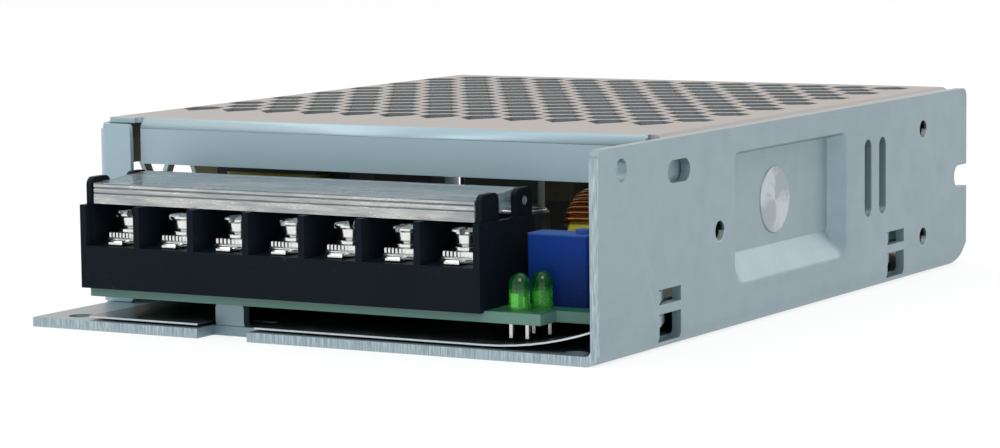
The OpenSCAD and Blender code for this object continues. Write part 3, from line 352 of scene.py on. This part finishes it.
flange_reach, flange_depth, flange_forward = 0.0066, 0.0017, 0.0013
plain_front, plain_back, rows_left = 0.016, 0.0025, 0.0007
cover_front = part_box("cover")[0].y
first_row_solid, first_row = cover_front + 0.0188, cover_front + 0.0207
row_step_solid, row_step = 0.0072 * np.sin(np.radians(60)), 0.006
cover = dressed_cover(plated_sheet("zinc_plated_cover", (0.29, 0.37, 0.405), (0.25, 0.33, 0.365),
                                   sheet_grain, flap=cover_front + 0.0009, top=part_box("cover")[1].z))
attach(cover, "case")


def plated_metal(name, pale, deep, rough, grain=900.0):
    """Bright plate with soft cloudy tone, slight dullness in patches and handling marks."""
    f = Finish(name)
    cloud = f.noise(grain, 3.0, 0.6)
    mark = f.rise(f.noise(grain * 2.5, 2.0), 0.62, 0.75)
    return f.surface({"Base Color": f.mix(cloud, deep, pale), "Metallic": 1.0,
                      "Roughness": rough + cloud * 0.12 + mark * 0.1,
                      "Normal": f.bump(cloud + mark * 0.5, 0.000008, 0.7)})


nickel = plated_metal("nickel_plate", (0.82, 0.82, 0.80), (0.62, 0.63, 0.62), 0.16)
for fastener in ("cover_screws", "board_screws", "clamp_rivet", "fuse_caps"):
    wear(fastener, nickel)

# Board and what holds it ----------------------------------------------------------------------
# Green glass laminate on brass standoffs, over a thin dark insulating film that curls up at the wall.


def laminate(name, resist, edge_colour, bottom, top):
    """Solder resist over copper: traces as raised tone on the faces, pale fibres on the cut edge."""
    f = Finish(name)
    z = f.axis("Z")
    half = (top - bottom) / 2
    face = f.rise(abs(z - (bottom + top) / 2), half - 0.00008, half - 0.00002)
    copper = f.rise(f.noise(160.0, 0.0), 0.48, 0.52)
    fibre = f.noise((1500.0, 1500.0, 9000.0), 2.0)
    cut = f.mix(fibre, tuple(v * 0.75 for v in edge_colour), edge_colour)
    flat = f.mix(copper, resist, tuple(min(1.0, v * 1.5) for v in resist))
    return f.surface({"Base Color": f.mix(face, cut, flat), "Roughness": 0.62 - face * 0.3 + fibre * 0.1,
                      "Normal": f.bump(face * copper * 2 + (1 - face) * fibre, 0.00002, 0.6)})


board_low, board_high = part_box("circuit_board")
wear("circuit_board", laminate("green_laminate", (0.02, 0.10, 0.055), (0.115, 0.235, 0.19),
                               board_low.z, board_high.z))
card_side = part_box("control_board")[1].x
card = Finish("pale_card")
card_rim = card.rise(card.axis("X"), card_side - 0.0006, card_side - 0.0003)
card_tone = card.noise(400.0)
wear("control_board", card.surface({
    "Base Color": card.mix(card_rim, card.mix(card_tone, (0.055, 0.085, 0.05), (0.085, 0.12, 0.08)),
                           (0.5, 0.56, 0.5)),
    "Roughness": 0.5 + card_tone * 0.1, "Normal": card.bump(card_tone, 0.00002)}))

brass = plated_metal("turned_brass", (0.75, 0.62, 0.34), (0.55, 0.43, 0.2), 0.25)
wear("board_standoffs", brass)

film = Finish("insulating_film")
film_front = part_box("insulation_sheet")[0].y
# Painted highlight: a pale line along the film's front edge.
film_painted_highlight = 1 - film.rise(film.axis("Y"), film_front + 0.00003, film_front + 0.00012)
film_tone = film.noise(60.0, 3.0)
wear("insulation_sheet", film.surface({
    "Base Color": film.mix(film_painted_highlight, film.mix(film_tone, (0.012, 0.02, 0.02), (0.03, 0.042, 0.042)),
                           (0.55, 0.6, 0.6)),
    "Roughness": 0.28 + film_tone * 0.12, "Normal": film.bump(film_tone, 0.0001, 0.5)}))

solder = plated_metal("solder", (0.72, 0.72, 0.70), (0.5, 0.5, 0.49), 0.3, 2200.0)
tinned = plated_metal("tinned_wire", (0.76, 0.75, 0.72), (0.55, 0.55, 0.52), 0.2, 1500.0)
wear("solder_joints", solder)
for legs in ("led_leads", "device_leads"):
    wear(legs, tinned)

# Terminal block -------------------------------------------------------------------------------
# Black moulded block with seven bays. A screw, a square clamp and a tin plated contact sit in each.


def moulded(name, colour, rough, grain=2500.0, specular=0.35):
    """Moulded plastic: fine grain, faint flow clouds and a little dust in patches."""
    f = Finish(name)
    flow = f.noise(120.0, 3.0)
    fine = f.noise(grain, 2.0)
    dust = f.rise(f.noise(700.0, 4.0, 0.7), 0.62, 0.8)
    body = f.mix(flow, tuple(v * 0.85 for v in colour), tuple(min(1.0, v * 1.15) for v in colour))
    return f.surface({"Base Color": f.mix(dust * 0.04, body, (0.5, 0.5, 0.5)),
                      "Roughness": rough + fine * 0.08 + dust * 0.1, "Specular IOR Level": specular,
                      "Normal": f.bump(fine, 0.000012, 0.7)})


def softened(node, width, material, angle=35.0):
    """Copy of a solid with merged points, whose edges sharper than the angle get a round of that width."""
    mesh = nodes[node].data.copy()
    shape = bmesh.new()
    shape.from_mesh(mesh)
    bmesh.ops.remove_doubles(shape, verts=shape.verts, dist=merge_distance)
    bmesh.ops.dissolve_limit(shape, angle_limit=flat_angle, verts=shape.verts, edges=shape.edges)
    shape.to_mesh(mesh)
    shape.free()
    mesh.materials.clear()
    mesh.materials.append(material)
    piece = bpy.data.objects.new(node + "_rounded", mesh)
    bpy.context.scene.collection.objects.link(piece)
    rounding = piece.modifiers.new("rounding", "BEVEL")
    rounding.width, rounding.segments = width, 2
    rounding.limit_method, rounding.angle_limit = "ANGLE", np.radians(angle)
    rounding.harden_normals = False
    mesh.shade_smooth()
    smoother = piece.modifiers.new("facets", "WEIGHTED_NORMAL")
    smoother.keep_sharp = True
    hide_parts(node)
    return piece


block_plastic = moulded("black_moulding", (0.0045, 0.0078, 0.0125), 0.36, 2500.0, 0.07)
block = softened("terminal_body", 0.00018, block_plastic)
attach(block, "case")


def capped(rows, columns):
    """Faces of a tube with closed ends."""
    ends = [list(range(columns))[::-1], [(rows - 1) * columns + k for k in range(columns)]]
    return [list(q) for q in grid_faces(rows, columns, False, True)] + ends


def assembled(name, parts, material, node, smooth=True):
    """One piece from closed tubes, each an array of rows of points, standing in for a solid."""
    points, faces, offset = [], [], 0
    for part in parts:
        points.append(part.reshape(-1, 3))
        faces += [[v + offset for v in q] for q in capped(part.shape[0], part.shape[1])]
        offset += part.shape[0] * part.shape[1]
    piece = add_piece(name, np.concatenate(points), faces, material, smooth)
    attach(piece, "case")
    if node:
        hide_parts(node)
    return piece


def prism(outline, low, high, rim=0.00008):
    """Upright prism over an outline that shrinks by the rim's width at both ends."""
    outline = np.asarray(outline, float)
    middle = outline.mean(0)
    reach = np.abs(outline - middle).max()
    rows = [(low, 1 - rim / reach), (low + rim, 1), (high - rim, 1), (high, 1 - rim / reach)]
    return np.stack([np.column_stack([middle + (outline - middle) * k, np.full(len(outline), z)])
                     for z, k in rows])


def rectangle(x, y, width, depth):
    """Corners of a rectangle about a middle, running anticlockwise."""
    return [(x + i * width / 2, y + j * depth / 2) for i, j in ((-1, -1), (1, -1), (1, 1), (-1, 1))]


def ridged(x, y, width, depth, pitch=0.0006, ridge=0.00005):
    """Rectangle whose sides step in and out by the ridge, one wave for each pitch."""
    corners = np.array(rectangle(x, y, width, depth) + rectangle(x, y, width, depth)[:1])
    out = []
    for start, end in zip(corners[:-1], corners[1:]):
        count = 2 * int(np.linalg.norm(end - start) / pitch)
        normal = np.array([end[1] - start[1], start[0] - end[0]]) / np.linalg.norm(end - start)
        for k in range(count):
            out.append(start + (end - start) * k / count - normal * ridge * (k % 2))
    return out


def screw_head(x, y, foot, turn, neck=0.0019, rim=0.0025, slot=0.0008, deep=0.0009, sides=96):
    """Turned head: a neck that widens a little, a thin rim and a low crown. Two crossed slots go down
    from the crown, also through the rim, where the distance from either cross line is under half the slot."""
    side = [neck - 0.0003, neck, neck + 0.0002, rim, rim, rim - 0.0002]
    r = np.concatenate([side, np.linspace(rim - 0.0003, 0.00005, 16)])
    z = np.concatenate([[0, 0.0003, 0.0014, 0.0017, 0.00195, 0.00215], np.linspace(0.0022, 0.0024, 16)])
    a = np.linspace(0, 2 * np.pi, sides, endpoint=False)
    rr, aa = np.meshgrid(r, a + turn, indexing="ij")
    across = np.minimum(np.abs(rr * np.cos(aa - turn)), np.abs(rr * np.sin(aa - turn)))
    zz = np.repeat(z[:, None], sides, 1)
    zz = np.where(across < slot / 2, np.minimum(zz, z[-1] - deep), zz)
    return np.stack([x + rr * np.cos(aa), y + rr * np.sin(aa), foot + zz], -1)


def ring(x, y, radius, low, high, sides=64):
    """Round plate with a small chamfer at both rims."""
    a = np.linspace(0, 2 * np.pi, sides, endpoint=False)
    return prism(np.stack([x + radius * np.cos(a), y + radius * np.sin(a)], -1), low, high)


tin = plated_metal("tin_plate", (0.93, 0.93, 0.90), (0.66, 0.67, 0.65), 0.1, 1300.0)
ways, pitch = 7, 0.0095
body_low, body_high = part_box("terminal_body")
bay_middles = [(body_low.x + body_high.x) / 2 + (k - (ways - 1) / 2) * pitch for k in range(ways)]
panel_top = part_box("terminal_contacts")[1].z - 0.0008
contact_front, screw_line = body_low.y + 0.0036, body_low.y + 0.0059
tail_line, tail_low = body_low.y + 0.0096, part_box("terminal_contacts")[0].z + 0.0005
head_turns = np.radians([25, 50, 5, 75, 35, 80, 12])
contacts, clamps, heads = [], [], []
for x, turn in zip(bay_middles, head_turns):
    plate = rectangle(x, contact_front + 0.0035, 0.0066, 0.007)
    nose = rectangle(x, contact_front - 0.001, 0.0024, 0.0025)
    tail = rectangle(x, tail_line, 0.0010, 0.0006)
    contacts += [prism(plate, panel_top, panel_top + 0.0005),
                 prism(nose, panel_top, panel_top + 0.0007, 0.0002),
                 prism(tail, tail_low, panel_top)]
    clamps += [prism(rectangle(x, screw_line, 0.0058, 0.0050), panel_top + 0.00055, panel_top + 0.0009),
               prism(ridged(x, screw_line, 0.0054, 0.0046), panel_top + 0.0009, panel_top + 0.0017),
               ring(x, screw_line, 0.0023, panel_top + 0.0018, panel_top + 0.0023)]
    heads += [screw_head(x, screw_line, panel_top + 0.0025, turn),
              ring(x, screw_line, 0.0013, panel_top + 0.001, panel_top + 0.0026)]
assembled("bent_contacts", contacts, tin, "terminal_contacts", False)
assembled("ridged_clamps", clamps, tin, "terminal_clamps", False)
assembled("slotted_heads", heads, tin, "terminal_screws", False)

# Terminal lid ---------------------------------------------------------------------------------
# Clear ribbed moulding over the screws. It turns on two pins in the ears of the block.

lid_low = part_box("terminal_cover")[0]
lip_top, lip_thick = lid_low.z + 0.003, 0.0003


def clear_plastic(name, dark, pale, through, rough, lines=()):
    """Clear moulding with flow clouds that also paint bright and grey streaks of reflection, a little haze,
    and painted shade in darker lines where its grooves run.
    """
    f = Finish(name)
    # The long clouds are partly flow in the moulding and partly painted reflection, as bright and grey
    # streaks along the lid.
    flow = f.rise(f.noise((90.0, 700.0, 900.0), 4.0, 0.65), 0.38, 0.62)
    colour = f.mix(flow, dark, pale)
    # Painted shade: a darker line along each groove.
    for z, width in lines:
        line = 1 - f.rise(abs(f.axis("Z") - z), width * 0.4, width)
        colour = f.mix(line * 0.8, colour, (0.16, 0.18, 0.19))
    return f.surface({"Base Color": colour, "Transmission Weight": through, "Roughness": rough + flow * 0.14,
                      "IOR": 1.5, "Normal": f.bump(flow, 0.00005, 0.5)})


clear_top = clear_plastic("clear_top", (0.42, 0.52, 0.57), (0.80, 0.88, 0.91), 0.84, 0.04)
lid = softened("terminal_cover", 0.0001, clear_top, 25.0)
lip_groove_shade = ((lip_top - 0.0007, 0.0002), (lip_top - 0.0015, 0.00016), (lip_top - 0.00005, 0.00022))
clear_lip = clear_plastic("clear_lip", (0.48, 0.50, 0.50), (0.82, 0.81, 0.77), 0.45, 0.14, lip_groove_shade)
lid.data.materials.append(clear_lip)
for polygon in lid.data.polygons:
    polygon.material_index = int(polygon.center.y < lid_low.y + lip_thick)
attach(lid, "lid")

# Indicator lamps ------------------------------------------------------------------------------
# Green tinted clear epoxy over a bright lead frame, with a flange at the foot.

lamp = Finish("green_epoxy")
lamp_depth = lamp.noise(900.0, 2.0)
lamp_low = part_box("led_front")[0].z
# Painted light and shade: the epoxy is bright green low down, around the lead frame, and dark green at the
# top.
lamp_painted_dark_top = lamp.rise(lamp.axis("Z") + lamp_depth * 0.0006, lamp_low + 0.0022, lamp_low + 0.0036)
lamp_material = lamp.surface({
    "Base Color": lamp.mix(lamp_painted_dark_top, (0.14, 0.85, 0.10), (0.01, 0.20, 0.03)), "Transmission Weight": 0.8,
    "Roughness": 0.03 + lamp_depth * 0.05, "IOR": 1.45})
frame_parts = []
for lamp_node in ("led_front", "led_rear"):
    wear(lamp_node, lamp_material)
    low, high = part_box(lamp_node)
    x, y = (low.x + high.x) / 2, (low.y + high.y) / 2
    foot = low.z + 0.0003
    frame_parts += [prism(rectangle(x - 0.0004, y, 0.0008, 0.0005), foot, low.z + 0.0024),
                    prism(rectangle(x + 0.0008, y, 0.0005, 0.0005), foot, low.z + 0.0020)]
assembled("lamp_frames", frame_parts, tinned, None, False)

# Capacitors -----------------------------------------------------------------------------------
# Aluminium cans in shrunk sleeves, blue at the front and black behind, standing on the board.


def sleeved(name, colour, top_z):
    """Glossy shrunk sleeve with slight waves; just under the top a line of bare aluminium shows."""
    f = Finish(name)
    wave = f.noise((300.0, 300.0, 90.0), 2.0)
    bare = f.rise(f.axis("Z"), top_z - 0.0004, top_z - 0.00031)
    inner = 1 - f.rise(f.axis("Z"), top_z - 0.00028, top_z - 0.0002)
    metal = bare * inner
    sleeve = f.mix(wave, tuple(v * 0.8 for v in colour), colour)
    return f.surface({"Base Color": f.mix(metal, sleeve, (0.6, 0.6, 0.6)),
                      "Metallic": metal, "Roughness": 0.3 + wave * 0.15,
                      "Normal": f.bump(wave, 0.00005, 0.5)})


blue_sleeve, black_sleeve = (0.012, 0.075, 0.34), (0.012, 0.013, 0.015)
for can, colour in (("front_capacitor", blue_sleeve), ("output_capacitors", black_sleeve),
                    ("bulk_capacitors", black_sleeve)):
    wear(can, sleeved(can + "_sleeve", colour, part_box(can)[1].z))

# Output choke ---------------------------------------------------------------------------------
# Yellow painted powder ring on edge, closely wound with thick enamelled copper wire.

paint = Finish("yellow_paint")
paint_pit = paint.noise(2500.0, 3.0)
wear("output_choke_core", paint.surface({
    "Base Color": paint.mix(paint_pit, (0.42, 0.36, 0.02), (0.62, 0.54, 0.04)),
    "Roughness": 0.42 + paint_pit * 0.2, "Normal": paint.bump(paint_pit, 0.00004)}))

wire = Finish("enamelled_copper")
wire_tone = wire.noise(800.0, 2.0)
copper_material = wire.surface({
    "Base Color": wire.mix(wire_tone, (0.42, 0.13, 0.035), (0.62, 0.24, 0.08)), "Metallic": 0.9,
    "Roughness": 0.2 + wire_tone * 0.1, "Coat Weight": 0.5, "Normal": wire.bump(wire_tone, 0.00002, 0.4)})

core_low, core_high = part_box("output_choke_core")
ring_middle = np.array((core_low + core_high) / 2)
ring_outer = (core_high.z - core_low.z) / 2
ring_inner = 0.003
ring_half = (core_high.x - core_low.x) / 2
wire_radius = 0.00045
turns = 33


def tube(path, radius, sides=10):
    """Round wire: at each point of the path a circle across the path's direction, joined to the next."""
    path = np.asarray(path, float)
    along = np.gradient(path, axis=0)
    along /= np.linalg.norm(along, axis=1)[:, None]
    across = np.cross(along, [0.31, 0.17, 0.93])
    across /= np.linalg.norm(across, axis=1)[:, None]
    other = np.cross(along, across)
    a = np.linspace(0, 2 * np.pi, sides, endpoint=False)
    cosine, sine = np.cos(a)[None, :, None], np.sin(a)[None, :, None]
    return path[:, None] + radius * (cosine * across[:, None] + sine * other[:, None])


points_a_turn, first_angle, swept_angle, squareness = 28, -45, 293, 0.45


def winding_path():
    """Goes round the ring once and round its rounded section once a turn. Cosine and sine are raised to a
    power under one, which squares the section, and every second turn lies deeper inside."""
    t = np.linspace(0, 1, turns * points_a_turn)
    way = np.radians(first_angle + swept_angle * t)
    s = 2 * np.pi * turns * t
    c, d = np.cos(s), np.sin(s)
    c, d = np.sign(c) * np.abs(c) ** squareness, np.sign(d) * np.abs(d) ** squareness
    middle, half = (ring_outer + ring_inner) / 2, (ring_outer - ring_inner) / 2 + wire_radius
    deeper = (np.floor(turns * t + 0.25) % 2) * np.clip(-d, 0, 1) ** 2 * 2 * wire_radius
    radius = middle + half * d - deeper
    x = (ring_half + wire_radius) * c
    return ring_middle + np.stack([x, radius * np.sin(way), -radius * np.cos(way)], -1)


coil_path = winding_path()
wound = tube(coil_path, wire_radius)
winding_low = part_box("output_choke_winding")[0]


def lead_path(start, foot_z):
    """From a turn's end straight down through the board."""
    s = np.linspace(0, 1, 12)[:, None]
    return np.asarray(start) + s * np.array([0, 0, foot_z - start[2]])


leads = [tube(lead_path(coil_path[k], winding_low.z), wire_radius) for k in (0, -1)]
assembled("copper_winding", [wound] + leads, copper_material, "output_choke_winding")

# Line choke and transformer -------------------------------------------------------------------
# Ground ferrite E cores through plastic bobbins. The choke's winding is wrapped in yellow polyester
# tape, and the transformer's in dark tape.

tape = Finish("yellow_tape")
lap_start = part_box("line_choke_winding")[0].x + 0.0168
lap = tape.rise(tape.axis("X"), lap_start, lap_start + 0.0002)
tape_tone = tape.noise((120.0, 120.0, 500.0), 2.0)
wear("line_choke_winding", tape.surface({
    "Base Color": tape.mix(lap, tape.mix(tape_tone, (0.30, 0.27, 0.006), (0.38, 0.35, 0.012)),
                           tape.mix(tape_tone, (0.22, 0.20, 0.01), (0.28, 0.25, 0.015))),
    "Roughness": 0.3 + tape_tone * 0.1, "Normal": tape.bump(tape_tone + lap * 4, 0.00002)}))
tape_plain = Finish("wound_tape")
layer = tape_plain.noise((60.0, 60.0, 1500.0), 2.0)
wear("transformer_winding", tape_plain.surface({
    "Base Color": tape_plain.mix(layer, (0.02, 0.018, 0.01), (0.045, 0.04, 0.02)),
    "Roughness": 0.3 + layer * 0.15, "Normal": tape_plain.bump(layer, 0.00003)}))

ferrite = Finish("ground_ferrite")
ferrite_grit = ferrite.noise(4000.0, 3.0)
ferrite_material = ferrite.surface({
    "Base Color": ferrite.mix(ferrite_grit, (0.028, 0.028, 0.03), (0.06, 0.06, 0.063)), "Metallic": 0.3,
    "Roughness": 0.45 + ferrite_grit * 0.15, "Normal": ferrite.bump(ferrite_grit, 0.00001)})
for core in ("line_choke_core", "transformer_core"):
    wear(core, ferrite_material)
wear("line_choke_bobbin", moulded("dark_bobbin", (0.03, 0.03, 0.03), 0.4))
wear("transformer_bobbin", moulded("black_bobbin", (0.015, 0.015, 0.016), 0.4))

# Small parts on the board ---------------------------------------------------------------------
# Potted, dipped and moulded parts on their legs, a glass fuse, and two devices clamped to the wall.

wear("film_capacitor", moulded("potting_yellow", (0.52, 0.34, 0.05), 0.42))
wear("disc_capacitors", moulded("blue_dip", (0.02, 0.09, 0.28), 0.28, 900.0))
wear("varistor", moulded("deep_blue_dip", (0.015, 0.06, 0.2), 0.28, 900.0))
wear("inrush_thermistor", moulded("dark_dip", (0.02, 0.03, 0.018), 0.5, 1200.0))
for epoxy_part in ("bridge_rectifier", "switching_transistor", "output_rectifier", "controller_chip"):
    wear(epoxy_part, moulded(epoxy_part + "_epoxy", (0.018, 0.018, 0.02), 0.5, 3500.0))
wear("optocoupler", moulded("white_epoxy", (0.6, 0.6, 0.58), 0.5))
trimmer = Finish("trimmer_blue")
trimmer_low, trimmer_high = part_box("voltage_trimmer")
# Painted shade: the blue is darker low down and lighter towards the top. The paler blue over the top 0.7 mm
# is a painted highlight.
trimmer_painted_light_upward = trimmer.rise(trimmer.axis("Z"), trimmer_low.z, trimmer_high.z - 0.001)
rim = trimmer.rise(trimmer.axis("Z"), trimmer_high.z - 0.00095, trimmer_high.z - 0.0007)
speck = trimmer.noise(2200.0, 2.0)
shade = trimmer.mix(trimmer_painted_light_upward, (0.001, 0.010, 0.07), (0.002, 0.030, 0.20))
wear("voltage_trimmer", trimmer.surface({
    "Base Color": trimmer.mix(rim, trimmer.mix(speck * 0.15, shade, (0.03, 0.09, 0.4)), (0.035, 0.09, 0.3)),
    "Roughness": 0.5 + speck * 0.1, "Specular IOR Level": 0.12, "Normal": trimmer.bump(speck, 0.00002)}))
wear("snubber_resistors", moulded("resistor_tan", (0.4, 0.28, 0.15), 0.4))
wear("thermal_pad", moulded("silicone_pad", (0.36, 0.38, 0.38), 0.7))
wear("clamp_spring", plated_metal("spring_steel", (0.5, 0.5, 0.5), (0.35, 0.35, 0.35), 0.3))

glass = Finish("fuse_glass")
glass_flow = glass.noise(500.0, 1.0)
wear("fuse_tube", glass.surface({
    "Base Color": glass.mix(glass_flow, (0.9, 0.93, 0.92), (0.97, 0.98, 0.97)), "Transmission Weight": 0.95,
    "Roughness": 0.03 + glass_flow * 0.03, "IOR": 1.5}))

# Studio ---------------------------------------------------------------------------------------
# Pale floor, surroundings that are white behind and dimmer in front, three soft lamps, and the camera.

floor_width = 6.0
floor_mesh = bpy.data.meshes.new("floor")
floor_mesh.from_pydata([(x, y, 0) for x, y in rectangle(0, 0, floor_width, floor_width)], [], [(0, 1, 2, 3)])
paper = Finish("white_paper")
paper_tone = paper.noise(3.0, 1.0)
paper.surface({"Base Color": paper.mix(paper_tone, (0.93, 0.93, 0.93), (0.95, 0.95, 0.95)), "Roughness": 0.9,
               "Specular IOR Level": 0.0})
kept_shading = 0.2
ray = paper.tree.nodes.new("ShaderNodeLightPath")
seen = Signal(paper, ray.outputs["Is Camera Ray"]) + Signal(paper, ray.outputs["Is Glossy Ray"])
seen = seen + Signal(paper, ray.outputs["Is Transmission Ray"])
white = paper.tree.nodes.new("ShaderNodeEmission")
blend = paper.tree.nodes.new("ShaderNodeMixShader")
paper.plug(blend.inputs[0], paper.math_min(seen, 1.0) * (1 - kept_shading))
paper.tree.links.new(paper.shader.outputs[0], blend.inputs[1])
paper.tree.links.new(white.outputs[0], blend.inputs[2])
paper.tree.links.new(blend.outputs[0], paper.tree.nodes["Material Output"].inputs[0])
floor_mesh.materials.append(paper.material)
floor = bpy.data.objects.new("floor", floor_mesh)
bpy.context.scene.collection.objects.link(floor)

world = bpy.data.worlds.new("surroundings")
bpy.context.scene.world = world
world.use_nodes = True
sky = world.node_tree
background = sky.nodes["Background"]
direction = sky.nodes.new("ShaderNodeTexCoord")
facing = sky.nodes.new("ShaderNodeVectorMath")
facing.operation = "DOT_PRODUCT"
facing.inputs[1].default_value = (-0.35, 0.93, 0.0)
sky.links.new(direction.outputs["Generated"], facing.inputs[0])
shades = sky.nodes.new("ShaderNodeValToRGB")
lift = sky.nodes.new("ShaderNodeMapRange")
lift.inputs[1].default_value, lift.inputs[2].default_value = -1.0, 1.0
sky.links.new(facing.outputs["Value"], lift.inputs[0])
sky.links.new(lift.outputs[0], shades.inputs[0])
stops = shades.color_ramp.elements
stops[0].position, stops[0].color = 0.0, (0.50, 0.56, 0.60, 1)
stops[1].position, stops[1].color = 0.55, (0.85, 0.88, 0.9, 1)
warm = stops.new(0.93)
warm.color = (1.25, 1.05, 0.93, 1)
sky.links.new(shades.outputs[0], background.inputs[0])
background.inputs[1].default_value = 1.0


def lamp_at(name, place, aim, size, power, colour=(1, 1, 1)):
    light = bpy.data.lights.new(name, "AREA")
    light.shape, light.size, light.energy, light.color = "DISK", size, power, colour
    lamp_object = bpy.data.objects.new(name, light)
    bpy.context.scene.collection.objects.link(lamp_object)
    lamp_object.location = place
    lamp_object.rotation_euler = (Vector(aim) - Vector(place)).to_track_quat("-Z", "Y").to_euler()


lamp_at("soft_key", (0.5, -0.7, 0.9), (0, 0, 0.01), 0.7, 6.0)
lamp_at("soft_fill", (-0.8, -0.2, 0.7), (0, 0, 0.01), 0.8, 3.0)
lamp_at("soft_back", (0.42, 1.1, 0.62), (0, 0, 0.01), 0.6, 2.0)

azimuth, elevation, roll = np.radians([30.05, 6.22, -0.68])
back = np.array([np.sin(azimuth) * np.cos(elevation), -np.cos(azimuth) * np.cos(elevation),
                 np.sin(elevation)])
right = np.cross(-back, [0, 0, 1])
right /= np.linalg.norm(right)
up = np.cross(back, right)
turned_right = right * np.cos(roll) + up * np.sin(roll)
turned_up = up * np.cos(roll) - right * np.sin(roll)
camera_data = bpy.data.cameras.new("camera")
camera_data.lens, camera_data.sensor_width, camera_data.sensor_fit = 119.84, 36.0, "HORIZONTAL"
camera_data.clip_start = 0.01
camera = bpy.data.objects.new("camera", camera_data)
bpy.context.scene.collection.objects.link(camera)
place = Matrix(np.stack([turned_right, turned_up, back], 1).tolist()).to_4x4()
place.translation = Vector((0.25739, -0.45169, 0.06749))
camera.matrix_world = place
bpy.context.scene.camera = camera
bpy.context.scene.view_settings.view_transform = "Standard"
